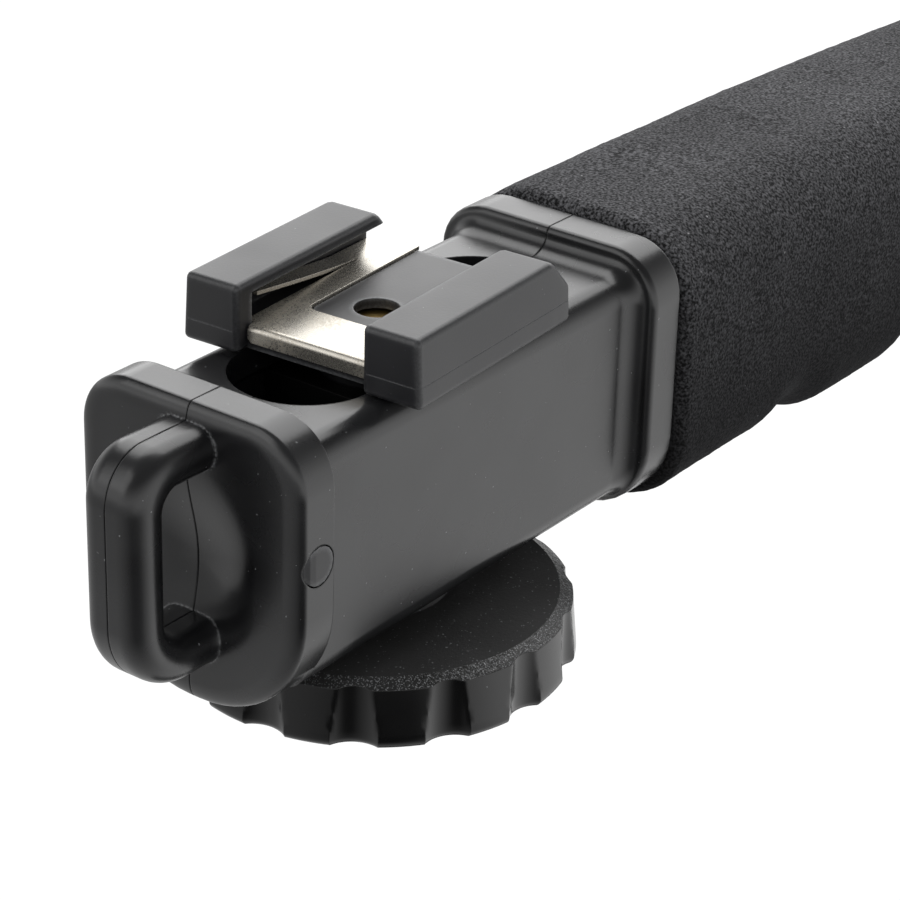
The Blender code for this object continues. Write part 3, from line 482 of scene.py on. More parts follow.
lowerArm = {
    "spineWidth": 22.0 * mm, "spineDepth": 25.0 * mm, "spineCorner": 5.0 * mm, "bend": 22.0 * mm,
    "width": 50.0 * mm, "thickness": 11.0 * mm, "corner": 2.6 * mm, "rise": 13.0 * mm,
    "neck": 34.0 * mm, "flare": 18.0 * mm, "setback": 27.6 * mm, "nose": 12.0 * mm,
    "noseTurn": 86,  # degrees round the nose, where its edge begins to be rounded too
    "noseEdgeShare": 0.6,
    "footLength": 14.0 * mm, "footWidth": 34.0 * mm, "footCorner": 3.0 * mm,
    "footBottom": 1.65 * mm, "footInset": 4.0 * mm, "footRearInset": 3.0 * mm,
}

slots = {
    "width": 13.0 * mm, "length": 36.1 * mm, "frontGap": 3.8 * mm, "lowWidth": 7.6 * mm,
    "cameraWidth": 7.0 * mm, "cameraTravel": 72.0 * mm, "cameraFront": 38.0 * mm,
    "recessWidth": 14.0 * mm, "recessDepth": 5.0 * mm, "guideLength": 16.6 * mm,
    "plugRoom": 0.1 * mm, "plugUnder": 0.3 * mm,  # round the plugs, and under them
    "past": 3.0 * mm,  # how far a cutter runs past what it cuts
}

foam = {
    "length": 106.7 * mm, "width": 25.6 * mm, "topRise": 3.0 * mm, "bottomDrop": 3.1 * mm,
    "corner": 8.0 * mm, "endRound": 1.0 * mm, "gap": 0.3 * mm, "coreStep": 1.25 * mm,
    "sag": 4.2 * mm,
    "belly": 1.05 * mm,  # how much lower the ridges between the fingers are than the front
    "bellyFrom": 14.0 * mm, "bellyTo": 31.0 * mm,
    "fingers": 4, "first": 22.85 * mm, "pitch": 24.0 * mm, "fingerLength": 13.0 * mm, "depth": 1.8 * mm,
    "roughness": 0.05 * mm,  # how much the ground skin stands in and out
    "lumpSize": 0.9 * mm, "fineShare": 0.5, "fineScale": 2.3,
    "swell": 0.1 * mm, "swellSize": 7 * mm,
    "rings": 260, "ringPoints": 200, "sharpAngle": 60,
}

embed = 1.5 * mm  # how deep joined shapes reach into each other
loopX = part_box("shell_left")[0].x
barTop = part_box("shell_left")[1].z - flange["topRise"]
flangeX = loopX + strapLoop["reach"]
barX = flangeX + flange["thickness"]
collarX = barX + bar["length"]
foamX = collarX + collar["length"]
foamEndX = foamX + foam["length"]
rearX = foamEndX + collar["length"]
barMiddle = barTop - bar["height"] / 2
barLow = barTop - bar["height"]
platformLow = lowerArm["rise"]
platformMiddle = platformLow + lowerArm["thickness"] / 2
platformTop = platformLow + lowerArm["thickness"]
platformX = loopX + lowerArm["setback"]
recessMiddle = platformX + slots["cameraFront"] + slots["cameraTravel"] / 2
recessLength = slots["cameraTravel"] + slots["guideLength"]


def middleOf(node):
    low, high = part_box(node)
    return (low + high) / 2


def ease(share):
    return (1 - math.cos(math.pi * share)) / 2


def section(x, z, turn, width, height, corner, lowCorner=None, steps=8):
    # a rounded rectangle across the frame, turned from upright by an angle
    outX, outZ = math.sin(turn), math.cos(turn)
    outline = roundedRectangle(width, height, corner, lowCorner, steps)
    return [(x + outX * up, across, z + outZ * up) for across, up in outline]


def barSection(x, growth):
    corner = max(bar["corner"] + growth, bar["innerCorner"])
    return section(x, barMiddle, 0, bar["width"] + 2 * growth, bar["height"] + 2 * growth, corner)


def collarSection(x, share, drawIn=0.0):
    # share of the collar's full height, drawn in a little at its rounded back edge
    growth = collar["proud"] * share
    corner = bar["corner"] + growth * collar["cornerShare"]
    lowCorner = bar["corner"] + (collar["lowCorner"] - bar["corner"]) * share
    growth -= drawIn
    return section(
        x, barMiddle, 0, bar["width"] + 2 * growth, bar["height"] + 2 * growth,
        corner - drawIn, lowCorner - drawIn,
    )


def collarRings(xFrom, xTo, steps=12):
    # a hollow rise with a rounded top, then the straight rim
    direction = 1 if xTo > xFrom else -1
    flare = xTo - xFrom - direction * collar["rim"]
    long, high, edge = collar["hollowShare"], collar["hollowHeightShare"], collar["backEdge"]
    rings = []
    for sine, cosine in sweep(collar["hollowTurn"], steps):
        rings.append(collarSection(xFrom + flare * long * sine, high * (1 - cosine)))
    for sine, cosine in sweep(90, steps)[1:]:
        along = long + (1 - long) * (1 - cosine)
        rings.append(collarSection(xFrom + flare * along, high + (1 - high) * sine))
    for sine, cosine in sweep(90, steps=4):
        rings.append(collarSection(xTo - direction * edge * (1 - sine), 1, edge * (1 - cosine)))
    return rings


def bendAndPlatform(inset, steps=22):
    # stations of (x, z, turn, width, depth, corner) down both bends, along the flare and round the nose
    arm = lowerArm
    barSize = (bar["width"], bar["height"], bar["corner"])
    spineSize = (arm["spineWidth"], arm["spineDepth"], arm["spineCorner"])
    neckSize = (arm["neck"], arm["thickness"], arm["corner"])
    stations = []
    for centre, start, size, nextSize, eased in (
        (barMiddle - arm["bend"], 0, barSize, spineSize, False),
        (platformMiddle + arm["bend"], 90, spineSize, neckSize, True),
    ):
        for step in range(steps + 1):
            share = step / steps
            turn = math.radians(start + 90 * share)
            share = ease(share) if eased else share
            place = (rearX + arm["bend"] * math.sin(turn), centre + arm["bend"] * math.cos(turn), turn)
            stations.append((*place, *(a + (b - a) * share for a, b in zip(size, nextSize))))
    for step in range(1, steps):
        share = step / (steps - 1)
        width = arm["neck"] + (arm["width"] - arm["neck"]) * ease(share)
        x = rearX - arm["flare"] * share
        stations.append((x, platformMiddle, math.pi, width, arm["thickness"], arm["corner"]))
    for sine, cosine in sweep(90, steps)[:-1]:
        x = platformX + arm["nose"] - (arm["nose"] - inset) * sine
        width = arm["width"] - 2 * arm["nose"] * (1 - cosine)
        stations.append((x, platformMiddle, math.pi, width, arm["thickness"], arm["corner"]))
    rings = []
    for x, z, turn, width, depth, corner in stations:
        innerCorner = max(corner - inset, arm["corner"] / 4)
        rings.append(section(x, z, turn, width - 2 * inset, depth - 2 * inset, innerCorner))
    return rings


def noseRings(count=12):
    # the rest of the platform's rounded front end, with its edge rounded too
    arm = lowerArm
    rings = []
    for (sine, cosine), (_, edge) in zip(sweep(90, count, arm["noseTurn"])[1:], sweep(90, count)[1:]):
        inset = arm["corner"] * (1 - edge) * arm["noseEdgeShare"]
        width = arm["width"] - 2 * arm["nose"] * (1 - cosine) - 2 * inset
        x = platformX + arm["nose"] * (1 - sine)
        rings.append(section(x, platformMiddle, math.pi, width, arm["thickness"] - 2 * inset, arm["corner"]))
    return rings


def flangeForm():
    height = flange["topRise"] + bar["height"] + flange["bottomDrop"]
    middle = barTop + flange["topRise"] - height / 2
    count = flange["dishRings"]

    def outline(x, inset):
        return section(
            x, middle, 0, flange["width"] - 2 * inset, height - 2 * inset,
            flange["topCorner"] - inset, flange["lowCorner"] - inset, steps=14,
        )

    rings = [outline(barX, flange["backEdge"]), outline(barX - flange["backEdge"], 0)]
    for sine, cosine in sweep(90, steps=12):
        rings.append(outline(flangeX + flange["edgeDepth"] * (1 - sine), flange["edge"] * (1 - cosine)))
    for step in range(count):
        share = 1 - step / count
        x = flangeX + flange["dishDepth"] * ease(step / count)
        width, tall = flange["dishWidth"] * share, flange["dishHeight"] * share
        corner = width * flange["dishCornerShare"]
        rings.append(section(x, barTop - flange["dishDrop"], 0, width, tall, corner, steps=14))
    return loft(rings)


def loopOutline(front, top, low, upperRadius, lowerRadius):
    # one side of the strap loop, from the flange round its front and back
    rootX = flangeX + embed
    upper = arcPoints(front + upperRadius, top - upperRadius, upperRadius, 90, 180, steps=16)
    lower = arcPoints(front + lowerRadius, low + lowerRadius, lowerRadius, 180, 270, steps=22)
    return [(rootX, top), *upper, *lower, (rootX, low)]


def loopSection(outer, inner, width):
    outer, inner = Vector(outer), Vector(inner)
    middle, reach = (outer + inner) / 2, outer - inner
    corner = min(strapLoop["corner"], reach.length * strapLoop["cornerShare"])
    outline = roundedRectangle(width, reach.length, corner, steps=9)
    reach.normalize()
    return [(middle.x + reach.x * up, across, middle.y + reach.y * up) for across, up in outline]


def loopForm():
    loop = strapLoop
    top, low = barTop + loop["topRise"], barLow + loop["lowRise"]
    outside = loopOutline(loopX, top, low, loop["upperBend"], loop["lowerBend"])
    opening = loopOutline(
        loopX + loop["bar"], top - loop["upperBar"], low + loop["root"],
        loop["upperCorner"], loop["lowerCorner"],
    )
    rings = [loopSection(outer, inner, loop["width"]) for outer, inner in zip(outside, opening)][:-1]
    for sine, cosine in sweep(loop["flareTurn"], steps=10):
        x = flangeX + flange["dishDepth"] - loop["flareLength"] * (1 - sine)
        width = loop["width"] + 2 * loop["flare"] * (1 - cosine)
        rings.append(loopSection((x, low), (x, low + loop["root"]), width))
    rings.append(loopSection(outside[-1], opening[-1], width))
    return loft(rings)


def hollowForm():
    # the room inside both halves, round the lining of the camera screw's slot
    wall = bar["wall"]
    rings = [barSection(x, -wall) for x in (barX, foamX)]
    rings += [barSection(x, -foam["coreStep"] - wall) for x in (foamX, foamEndX)]
    rings += [barSection(foamEndX, -wall)]
    rings += bendAndPlatform(wall, steps=10)
    outline = stadium(recessLength + 2 * wall, slots["recessWidth"] + 2 * wall)
    lining = prism(outline, platformLow - wall, platformTop + wall, recessMiddle)
    return combine(fromBmesh("hollow", loft(rings)), lining)


def cutSlots(whole):
    past, lowWidth, cameraWidth = slots["past"], slots["lowWidth"], slots["cameraWidth"]
    shoeMiddle = barX + slots["frontGap"] + slots["length"] / 2
    lowLength = slots["length"] - slots["width"] + lowWidth
    recessLow, aboveTop = platformTop - slots["recessDepth"], platformTop + past
    for centre, length, width, low, high in (
        (shoeMiddle, slots["length"], slots["width"], barMiddle, barTop + past),
        (shoeMiddle, lowLength, lowWidth, barLow - past, barLow + 2 * past),
        (recessMiddle, slots["cameraTravel"] + cameraWidth, cameraWidth, platformLow - past, aboveTop),
        (recessMiddle, recessLength, slots["recessWidth"], recessLow, aboveTop),
    ):
        combine(whole, prism(stadium(length, width), low, high, centre))


def cutPlugHoles(whole):
    # the plugs' own boxes say where their holes are
    for name in sorted(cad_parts):
        if name.startswith("screw_plug_"):
            low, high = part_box(name)
            plug = (high.z - low.z) / 2
            x, z = high.x - plug, low.z + plug
            combine(whole, loft([
                [(x + a, y, z + b) for a, b in ringPoints(plug + slots["plugRoom"], count=48)]
                for y in (low.y - slots["past"], high.y + slots["plugUnder"])
            ]))


def frameHalves(material):
    rings = [barSection(barX - embed, 0)]
    rings += collarRings(collarX, foamX)
    rings += [barSection(x, -foam["coreStep"]) for x in (foamX, foamEndX)]
    rings += collarRings(rearX, foamEndX)[::-1][:-1]
    rings += bendAndPlatform(0)
    rings += noseRings()
    whole = fromBmesh("whole", loft(rings))
    combine(whole, flangeForm(), "UNION")
    combine(whole, loopForm(), "UNION")
    foot = roundedRectangle(lowerArm["footLength"], lowerArm["footWidth"], lowerArm["footCorner"])
    for x in (
        platformX + lowerArm["footInset"] + lowerArm["footLength"] / 2,
        rearX - lowerArm["footRearInset"] - lowerArm["footLength"] / 2,
    ):
        combine(whole, prism(foot, lowerArm["footBottom"], platformLow + embed, x), "UNION")
    combine(whole, hollowForm())
    cutSlots(whole)
    cutPlugHoles(whole)
    far = 2 * foamEndX - 2 * loopX  # well past every side of the frame
    for name, lowY, highY in (("left", bar["seam"] / 2, far), ("right", -far, -bar["seam"] / 2)):
        half = addObject("frameHalf_" + name, whole.data.copy())
        combine(half, block((-far, lowY, -far), (far, highY, far)), "INTERSECT")
        weightNormals(half)
        dress(half, material, "frame", "shell_" + name)
    bpy.data.objects.remove(whole)


# Foam sleeve

def fingerGroove(x):
    depth = 0.0
    for finger in range(foam["fingers"]):
        groove = foamX + foam["first"] + finger * foam["pitch"]
        away = abs(x - groove) / (foam["fingerLength"] / 2)
        if away < 1:
            depth = max(depth, foam["depth"] * (1 + math.cos(math.pi * away)) / 2)
    return depth


def evenOutline(points, count):
    # the same outline with its points evenly spaced
    closed = [Vector(p) for p in points] + [Vector(points[0])]
    lengths = [0.0]
    for a, b in zip(closed, closed[1:]):
        lengths.append(lengths[-1] + (b - a).length)
    result, k = [], 0
    for i in range(count):
        goal = lengths[-1] * i / count
        while lengths[k + 1] < goal:
            k += 1
        share = (goal - lengths[k]) / max(lengths[k + 1] - lengths[k], 1e-12)
        result.append(tuple(closed[k].lerp(closed[k + 1], share)))
    return result


def foamSleeve(material):
    gap, end, length = foam["gap"], foam["endRound"], foam["length"]
    ends = [(gap + end * (1 - cosine), end * (1 - sine)) for sine, cosine in sweep(90, steps=8)]
    straight = length - 2 * gap - 2 * end
    steps = foam["rings"]
    stations = ends + [(gap + end + straight * step / steps, 0) for step in range(1, steps)]
    stations += [(length - along, drawIn) for along, drawIn in reversed(ends)]
    rings = []
    for along, drawIn in stations:
        x = foamX + along
        top = barTop + foam["topRise"] - foam["sag"] * (along / length) ** 2 - drawIn
        share = min(max((along - foam["bellyFrom"]) / (foam["bellyTo"] - foam["bellyFrom"]), 0), 1)
        belly = foam["belly"] * share * share * (3 - 2 * share)
        low = barLow - foam["bottomDrop"] - belly + fingerGroove(x) + drawIn
        outline = roundedRectangle(foam["width"] - 2 * drawIn, top - low, foam["corner"] - drawIn, steps=12)
        outline = evenOutline(outline, foam["ringPoints"])
        rings.append([(x, across, (top + low) / 2 + up) for across, up in outline])
    bm = loft(rings)
    for vertex in bm.verts:
        place = vertex.co / foam["lumpSize"]
        swell = noise.noise(vertex.co / foam["swellSize"]) * foam["swell"]
        rough = noise.noise(place) + foam["fineShare"] * noise.noise(place * foam["fineScale"])
        outward = Vector((0, vertex.co.y, vertex.co.z - barMiddle)).normalized()
        vertex.co += outward * (rough * foam["roughness"] + swell)
    sleeve = fromBmesh("foamSleeve", bm)
    reach = slots["past"]
    combine(sleeve, loft([
        barSection(x, -foam["coreStep"] + gap) for x in (foamX - reach, foamEndX + reach)
    ]))
    smooth(sleeve.data, foam["sharpAngle"])
    dress(sleeve, material, "frame", "foam_grip")


# Accessory shoe

shoe = {
    "width": 24.0 * mm, "height": 6.1 * mm, "draft": 0.33 * mm, "edge": 0.55 * mm,
    "front": 11.05 * mm, "rear": 12.3 * mm, "railRear": 9.1 * mm,
    "wallRear": 11.6 * mm, "wallHeight": 3.3 * mm, "post": 2.0 * mm,
    "gap": 12.5 * mm, "channel": 18.7 * mm, "floor": 1.8 * mm, "pad": 2.05 * mm,
    "lip": 1.9 * mm, "lipTip": 0.75 * mm,  # the lips thin towards their edges
    "plateGap": 0.15 * mm,  # beside the spring plate
    "hole": 4.0 * mm, "boss": 5.0 * mm, "bossDrop": 4.6 * mm, "pocket": 4.15 * mm, "pocketTop": 1.15 * mm,
    "partingLine": 2.0 * mm, "partingWidth": 0.07 * mm, "partingDepth": 0.025 * mm,
    "lift": 0.15 * mm,  # above the bar
    "yaw": math.radians(3.4),
}

spring = {
    "sheet": 0.35 * mm,
    "lift": 0.15 * mm,  # above the shoe's floor
    "front": 1.2 * mm,  # behind the rails' front
    "foldRadius": 0.55 * mm, "lipDrop": 1.5 * mm,
    "bridge": 5.85 * mm, "bridgeHalf": 6.1 * mm, "nip": 0.35 * mm,  # the nip is off its corners
    "window": 8.9 * mm, "windowCorner": 1.1 * mm,
    "strip": 2.55 * mm, "slit": 0.2 * mm, "sideGap": 0.2 * mm, "tail": 0.4 * mm,
    "tabFront": 4.0 * mm, "tabLength": 14.0 * mm, "tabRise": 1.8 * mm, "tabCurve": 1.2,
    "sharpAngle": 40,
}

shoePlace = Vector((middleOf("shoe_washer").x, middleOf("shoe_washer").y, barTop + shoe["lift"]))


def placeShoe(item):
    item.data.transform(Matrix.Translation(shoePlace) @ Matrix.Rotation(shoe["yaw"], 4, "Z"))
    return item


def shoeRail(side):
    # one rail with its post, rounded all over, before its channel is cut
    half, inner = shoe["width"] / 2, shoe["gap"] / 2

    def ring(x, height):
        outer = half - shoe["draft"] * height / shoe["height"]
        points = [(inner, 0), (half, 0), (outer, height), (inner, height)]
        return [(x, side * across, up) for across, up in points]

    bm = loft([
        ring(-shoe["front"], shoe["height"]), ring(shoe["railRear"], shoe["height"]),
        ring(shoe["wallRear"], shoe["wallHeight"]),
    ])
    bmesh.ops.bevel(
        bm, geom=list(bm.edges), offset=shoe["edge"], offset_type="OFFSET", segments=4, profile=0.5,
        affect="EDGES", clamp_overlap=True,
    )
    return bm


def shoeBody(material):
    front, rear, height, floor = -shoe["front"], shoe["rear"], shoe["height"], shoe["floor"]
    lipHalf, channelHalf = shoe["gap"] / 2, shoe["channel"] / 2
    body = fromBmesh("shoeRail", shoeRail(1))
    combine(body, shoeRail(-1), "UNION")
    for side in (-1, 1):
        inner, outer = side * (lipHalf - embed), side * channelHalf
        outerTop, innerTop = height - shoe["lip"], height - shoe["lipTip"]
        under = [(inner, floor), (outer, floor), (outer, outerTop), (inner, innerTop)]
        combine(body, loft([[(x, *point) for point in under] for x in (front + shoe["post"], rear + embed)]))
    plateX = front + spring["front"]
    baseX, padX = plateX + spring["sheet"] + shoe["plateGap"], plateX + spring["bridge"] + shoe["plateGap"]
    baseHalf, baseEnd = lipHalf + embed, shoe["wallRear"] - shoe["edge"]
    combine(body, block((baseX, -baseHalf, 0), (baseEnd, baseHalf, floor)), "UNION")
    combine(body, block((0, -channelHalf, 0), (rear, channelHalf, floor)), "UNION")
    padLength = rear - padX + embed
    outline = roundedRectangle(padLength, spring["window"] - 2 * shoe["plateGap"], spring["windowCorner"])
    pad = fromBmesh("pad", prism(outline, floor / 2, shoe["pad"], padX + padLength / 2))
    combine(pad, block((rear, -channelHalf, -embed), (rear + 2 * embed, channelHalf, 2 * embed)))
    combine(body, pad, "UNION")
    combine(body, turned(shoe["boss"], -shoe["bossDrop"], floor / 2), "UNION")
    combine(body, turned(shoe["pocket"], -2 * shoe["bossDrop"], shoe["pocketTop"]))
    combine(body, turned(shoe["hole"] / 2, 0, height, count=48))
    cutPartingLine(body)
    placeShoe(body)
    weightNormals(body)
    dress(body, material, "shoe", "shoe_body")


def cutPartingLine(body):
    # the mould's parting line runs round the outside, a third of the way up, as a frame of thin cutter
    level, depth, high = shoe["partingLine"], shoe["partingDepth"], shoe["height"]
    low, top = level - shoe["partingWidth"] / 2, level + shoe["partingWidth"] / 2
    half = shoe["width"] / 2 - shoe["draft"] * level / high - depth
    far, channelHalf, lipHalf = 2 * shoe["width"], shoe["channel"] / 2, shoe["gap"] / 2
    cutter = fromBmesh("partingCutter", block((-far, -far, low), (far, far, top)))
    for lowEnd, highEnd in (
        ((depth - shoe["front"], -half, 0), (shoe["wallRear"] - depth, half, high)),
        ((0, -channelHalf, 0), (far + embed, channelHalf, high)),
        ((-far - embed, -lipHalf, 0), (0, lipHalf, high)),
    ):
        combine(cutter, block(lowEnd, highEnd))
    combine(body, cutter)


def springPlate(material):
    # punched flat with its lip and tabs, then folded down at the front and bent up along the tabs
    front, fold, corner, nip = -shoe["front"], spring["foldRadius"], spring["windowCorner"], spring["nip"]
    top = shoe["floor"] + spring["lift"] + spring["sheet"]
    foldX = front + spring["front"] + fold
    foldLength = fold * math.pi / 2
    lipX = foldX - foldLength - (spring["lipDrop"] - fold)
    postX = front + shoe["post"] + spring["sideGap"]
    tabX = front + spring["tabFront"]
    tabRoot = tabX + spring["tabLength"]
    endX = shoe["rear"] + spring["tail"]
    windowX = front + spring["front"] + spring["bridge"]
    bridgeHalf, windowHalf = spring["bridgeHalf"], spring["window"] / 2
    stripOuter = windowHalf + spring["strip"]
    tabInner, tabOuter = stripOuter + spring["slit"], shoe["channel"] / 2 - spring["sideGap"]
    half = [
        (lipX, bridgeHalf - nip), (lipX + nip, bridgeHalf), (postX, bridgeHalf), (postX, stripOuter),
        (tabRoot, stripOuter), (tabRoot, tabInner), (tabX, tabInner), (tabX, tabOuter - nip),
        (tabX + nip, tabOuter), (endX, tabOuter), (endX, windowHalf),
        *arcPoints(windowX + corner, windowHalf - corner, corner, 90, 180, steps=8),
    ]
    bm = prism(half + [(x, -y) for x, y in reversed(half)], top - spring["sheet"], top)
    cuts = [foldX - foldLength * step / 8 for step in range(9)]
    cuts += [tabX + spring["tabLength"] * step / 12 for step in range(1, 12)]
    for x in cuts:
        parts = list(bm.verts) + list(bm.edges) + list(bm.faces)
        bmesh.ops.bisect_plane(bm, geom=parts, plane_co=(x, 0, 0), plane_no=(1, 0, 0))
    for vertex in bm.verts:
        x, y, z = vertex.co
        if x < foldX:
            radius = fold - (top - z)
            angle = min((foldX - x) / fold, math.pi / 2)
            vertex.co.x = foldX - radius * math.sin(angle)
            vertex.co.z = top - fold + radius * math.cos(angle) - max(foldX - x - foldLength, 0)
        elif abs(y) > (stripOuter + tabInner) / 2 and x < tabRoot:
            share = (tabRoot - x) / spring["tabLength"]
            vertex.co.z += spring["tabRise"] * share ** spring["tabCurve"]
    plate = placeShoe(fromBmesh("springPlate", bm, spring["sharpAngle"]))
    weightNormals(plate, spring["sharpAngle"])
    dress(plate, material, "shoe", "shoe_spring_plate")


# Knobs

knob = {
    "radius": 18.05 * mm, "height": 6.25 * mm, "underRound": 0.8 * mm,
    "face": 16.4 * mm, "chamfer": 17.6 * mm, "chamferDrop": 0.65 * mm,
    "flutes": 14, "fluteRadius": 3.2 * mm, "fluteDepth": 0.85 * mm, "fluteSteps": 18, "ridgeSteps": 9,
    "hub": 6.5 * mm, "hubHeight": 1.25 * mm, "hubEdge": 0.25 * mm, "bore": 3.25 * mm,
    "seat": 8.15 * mm, "seatDepth": 1.15 * mm, "pocket": 5.55 * mm, "pocketDepth": 3.9 * mm,
    "shoeTurn": math.radians(-120.5), "sharpAngle": 26,
}


def knobColumns():
    # (angle, distance of the flute's wall from the axis) of each column of points, closest in the flutes
    radius, hollow = knob["radius"], knob["fluteRadius"]
    reach = radius - knob["fluteDepth"] + hollow
    pitch = math.tau / knob["flutes"]
    half = math.acos((reach ** 2 + radius ** 2 - hollow ** 2) / (2 * reach * radius))
    inFlute, onRidge = knob["fluteSteps"], knob["ridgeSteps"]
    profile = []
    for i in range(inFlute):
        away = -half + 2 * half * i / inFlute
        side = reach * math.sin(away)
        profile.append((away, reach * math.cos(away) - math.sqrt(hollow ** 2 - side ** 2)))
    profile += [(half + (pitch - 2 * half) * i / onRidge, math.inf) for i in range(onRidge)]
    return [(flute * pitch + away, wall) for flute in range(knob["flutes"]) for away, wall in profile]


def knobBody(name, node, body, turn, materials):
    # rings from the bore's top out over the face, down the fluted rim and in under the knob
    x, y, _ = middleOf(node)
    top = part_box(node)[1].z
    hub, edge, chamfer, under = knob["hub"], knob["hubEdge"], knob["chamfer"], knob["underRound"]
    face = -knob["hubHeight"]
    low = face - knob["height"]
    chamferLow, rimLow = face - knob["chamferDrop"], low + under
    columns = knobColumns()

    def plainRows(*points):
        return [[point] * len(columns) for point in points]

    rows = plainRows(
        (knob["bore"], 0), (hub - edge, 0), (hub, -edge), (hub, face + edge), (hub + edge, face),
        (knob["face"], face),
    )
    chamferRow = len(rows) - 1
    starts = []
    for _, wall in columns:
        radius = min(chamfer, wall)
        share = (radius - knob["face"]) / (chamfer - knob["face"])
        starts.append((radius, face - knob["chamferDrop"] * share))
    rows.append(starts)
    for step in range(1, 9):
        row = []
        for (_, wall), (_, start) in zip(columns, starts):
            z = start + (rimLow - start) * step / 8
            bulge = (knob["radius"] - chamfer) * (chamferLow - z) / (chamferLow - rimLow)
            row.append((min(chamfer + max(bulge, 0), wall), z))
        rows.append(row)
    for sine, cosine in sweep(90, steps=6)[1:]:
        drawIn, z = under * (1 - cosine), low + under * (1 - sine)
        rows.append([(min(knob["radius"] - drawIn, wall - drawIn), z) for _, wall in columns])
    rimRows = len(rows)
    seatTop, pocketTop = low + knob["seatDepth"], low + knob["pocketDepth"]
    rows += plainRows(
        (knob["seat"], low), (knob["seat"], seatTop), (knob["pocket"], seatTop), (knob["pocket"], pocketTop),
        (knob["bore"], pocketTop),
    )
    rings = []
    for row in rows:
        rings.append([
            (x + radius * math.cos(angle + turn), y + radius * math.sin(angle + turn), top + z)
            for (radius, z), (angle, _) in zip(row, columns)
        ])
    item = fromBmesh(name, loft(rings, closed=True), knob["sharpAngle"])
    dress(item, materials["eroded"], body, node)
    item.data.materials.append(materials["polished"])
    item.data.materials.append(materials["coarse"])
    for polygon in item.data.polygons:
        row = polygon.index // len(columns)
        if row == chamferRow:
            polygon.material_index = 2
        elif chamferRow < row < rimRows:
            polygon.material_index = 1


# Stage

studio = {
    "floor": "#747474",  # what it throws back on the object; its glow makes it look white
    "floorGlow": 0.86,
    "floorHalf": 3,
    "floorDepth": 0.02,
    "floorAcross": (0.7, -0.7, 0),  # from the picture's left to its right
    "floorRange": {1: -0.42, 2: 0.12, 3: 0.36, 4: 1.0},  # metres across, and the glow that skins mirror there
    "darkPlace": (-0.33, -0.27, 0.0),  # in front of the grip the mirrored floor is nearly black
    "darkRange": {1: 0.12, 2: 0.4, 3: 0.05, 4: 1.0},  # metres from that place, and the share of the glow
    "skyGlow": 0.6,
    "skyZenith": 0.12,  # the mirrored sky fades above the horizon
    "skyFrom": 0.03,
    "skyFade": 0.55,
    "keyPlace": (0.64, 0.42, 0.80),
    "keySize": 1.2,
    "keyPower": 9.8,
    "fillPlace": (-0.75, 0.35, 0.75),
    "fillSize": 0.7,
    "fillPower": 1.6,
    "aim": (-0.05, 0.0, 0.16),
    "cameraPlace": (-251.3 * mm, -141.7 * mm, 283.7 * mm),
    "cameraAzimuth": -53.36,
    "cameraElevation": 26.54,
    "cameraRoll": 1.61,
    "lens": 119.8,
    "sensor": 36.0,
    "clipStart": 0.01,
}


def seenDirectly(tree, light):
    # 1 for the camera and through glass
    rays = {0: light.outputs["Is Camera Ray"], 1: light.outputs["Is Transmission Ray"]}
    return addNode(tree, "Math", {"operation": "MAXIMUM"}, rays)


def softRoom():
    world = bpy.data.worlds.new("softRoom")
    bpy.context.scene.world = world
    world.use_nodes = True
    tree = world.node_tree
    light = addNode(tree, "LightPath")
    outward = addNode(tree, "TexCoord").outputs["Generated"]
    height = addNode(tree, "SeparateXYZ", {}, {"Vector": outward}).outputs["Z"]
    fade = {1: studio["skyFrom"], 2: studio["skyFade"], 3: 1.0, 4: studio["skyZenith"]}
    mirrored = addNode(tree, "MapRange", fade, {0: height})
    unseen = addNode(
        tree, "Mix", {"data_type": "FLOAT", 2: studio["skyGlow"]},
        {0: light.outputs["Is Glossy Ray"], 3: mirrored},
    )
    glow = addNode(tree, "Math", {"operation": "MAXIMUM"}, {0: unseen, 1: seenDirectly(tree, light)})
    setUp(tree.nodes["Background"], {"Color": "#ffffff"})
    joinUp(tree, tree.nodes["Background"], {"Strength": glow})


def paleFloor():
    # white to the camera, and to the object's skin a soft glow that fades to the left and in front
    size, depth = studio["floorHalf"], studio["floorDepth"]
    floor = fromBmesh("floor", block((-size, -size, -depth), (size, size, 0)))
    material, tree, shader, place, _ = newMaterial("paleFloor", {
        "Base Color": studio["floor"], "Roughness": 0.95, "Specular IOR Level": 0.0,
        "Emission Color": "#ffffff",
    })
    light = addNode(tree, "LightPath")
    across = addNode(tree, "VectorMath", {"operation": "DOT_PRODUCT", 1: studio["floorAcross"]}, {0: place})
    away = addNode(tree, "VectorMath", {"operation": "DISTANCE", 1: studio["darkPlace"]}, {0: place})
    mirrored = addNode(tree, "Math", {"operation": "MULTIPLY"}, {
        0: addNode(tree, "MapRange", studio["floorRange"], {0: across}),
        1: addNode(tree, "MapRange", studio["darkRange"], {0: away}),
    })
    seen = addNode(
        tree, "Math", {"operation": "MULTIPLY", 1: studio["floorGlow"]}, {0: seenDirectly(tree, light)}
    )
    joinUp(tree, shader, {"Emission Strength": seen})
    glow = addNode(tree, "Emission", {}, {"Strength": mirrored})
    either = addNode(tree, "MixShader", {}, {0: light.outputs["Is Glossy Ray"], 1: shader, 2: glow})
    joinUp(tree, tree.nodes["Material Output"], {"Surface": either})
    floor.data.materials.append(material)


def softBoxes():
    aim = Vector(studio["aim"])
    for name in ("key", "fill"):
        lamp = bpy.data.lights.new(name + "Light", "AREA")
        lamp.energy = studio[name + "Power"]
        lamp.size = studio[name + "Size"]
        item = addObject(name + "Light", lamp)
        item.location = studio[name + "Place"]
        item.rotation_euler = (aim - item.location).to_track_quat("-Z", "Y").to_euler()
        item.visible_camera = False


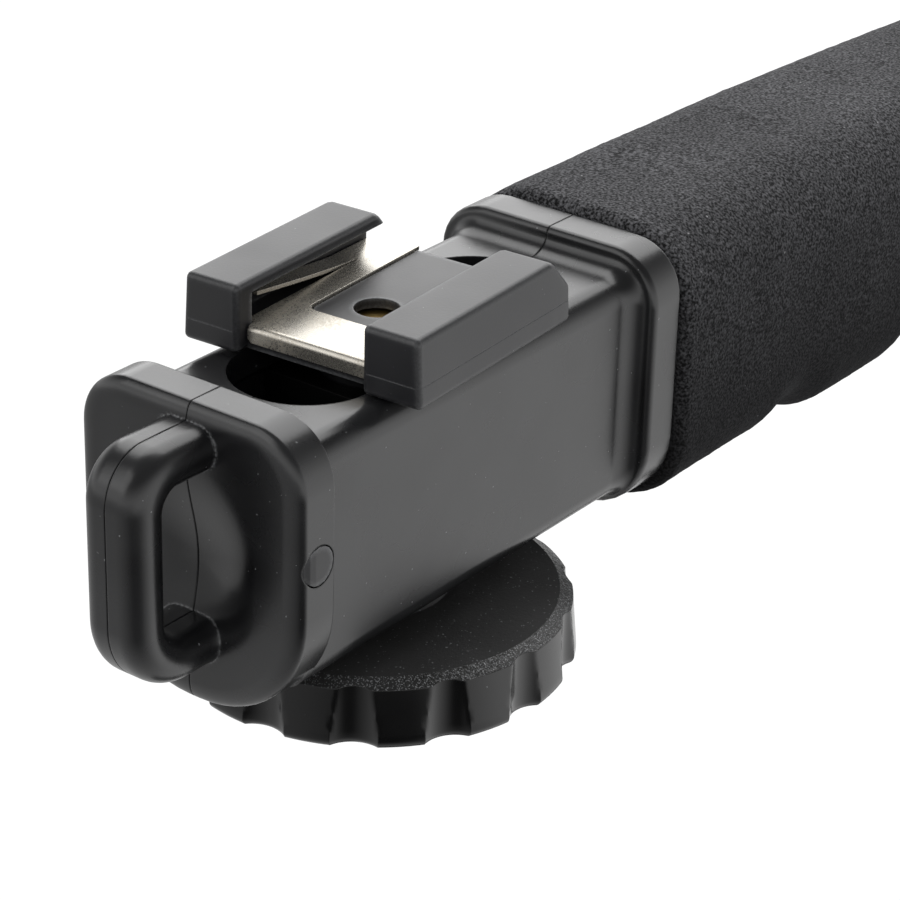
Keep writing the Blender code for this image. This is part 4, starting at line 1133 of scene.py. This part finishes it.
def aimCamera():
    camera = bpy.data.cameras.new("camera")
    camera.lens = studio["lens"]
    camera.sensor_width = studio["sensor"]
    camera.clip_start = studio["clipStart"]
    item = addObject("camera", camera)
    azimuth, elevation, roll = (
        math.radians(studio[key]) for key in ("cameraAzimuth", "cameraElevation", "cameraRoll")
    )
    flat = math.cos(elevation)
    back = Vector((math.sin(azimuth) * flat, -math.cos(azimuth) * flat, math.sin(elevation)))
    level = Vector((math.cos(azimuth), math.sin(azimuth), 0))
    upright = back.cross(level)
    right = level * math.cos(roll) + upright * math.sin(roll)
    up = upright * math.cos(roll) - level * math.sin(roll)
    turn = Matrix((right, up, back)).transposed().to_4x4()
    item.matrix_world = Matrix.Translation(studio["cameraPlace"]) @ turn
    bpy.context.scene.camera = item


softRoom()
paleFloor()
softBoxes()
aimCamera()
bpy.context.scene.view_settings.view_transform = "Standard"
print("stage ready")

satinAbs = mouldedAbs("satinAbs", satin)
mattAbs = mouldedAbs("mattAbs", matt)
knobAbs = {
    "eroded": mouldedAbs("erodedAbs", eroded),  # the face and the underside
    "polished": mouldedAbs("polishedAbs", polished),  # the fluted rim
    "coarse": mouldedAbs("coarseAbs", coarse),  # the chamfer
}
# the nylon pieces, darkened as painted shade for the inside of the shoe's slot
paintedShadeNylonMould = mouldedAbs("paintedShadeNylon", paintedShadeNylon)
nickel = nickelPlate()
brass = turnedMetal("turnedBrass", "#c9ab6b", 0.35, middleOf("shoe_stud"))
zinc = turnedMetal("zincSteel", "#b9bcc0", 0.32, middleOf("camera_stud"))
foamBlack = cutFoam()
rubber = mouldedRubber()
print("materials ready")

frameHalves(satinAbs)
print("frame halves ready")
foamSleeve(foamBlack)
print("foam sleeve ready")
shoeBody(mattAbs)
springPlate(nickel)
knobBody("shoeKnob", "shoe_knob", "shoe_screw", knob["shoeTurn"], knobAbs)
knobBody("cameraKnob", "camera_knob", "camera_screw", 0, knobAbs)
print("shoe and knobs ready")

for starts, material in (
    (("shoe_insert", "shoe_stud"), brass),
    (("shoe_spacer", "shoe_washer", "camera_guide", "camera_washer"), paintedShadeNylonMould),
    (("shoe_knob_cap", "camera_knob_cap"), knobAbs["eroded"]),
    (("camera_clip", "camera_stud", "case_screw"), zinc),
    (("screw_plug",), mattAbs),
    (("foot_", "platform_pad"), rubber),
):
    for name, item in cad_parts.items():
        if name.startswith(starts):
            paint(item, material)
            smooth(item.data, sharpAngle)
print("small pieces dressed")
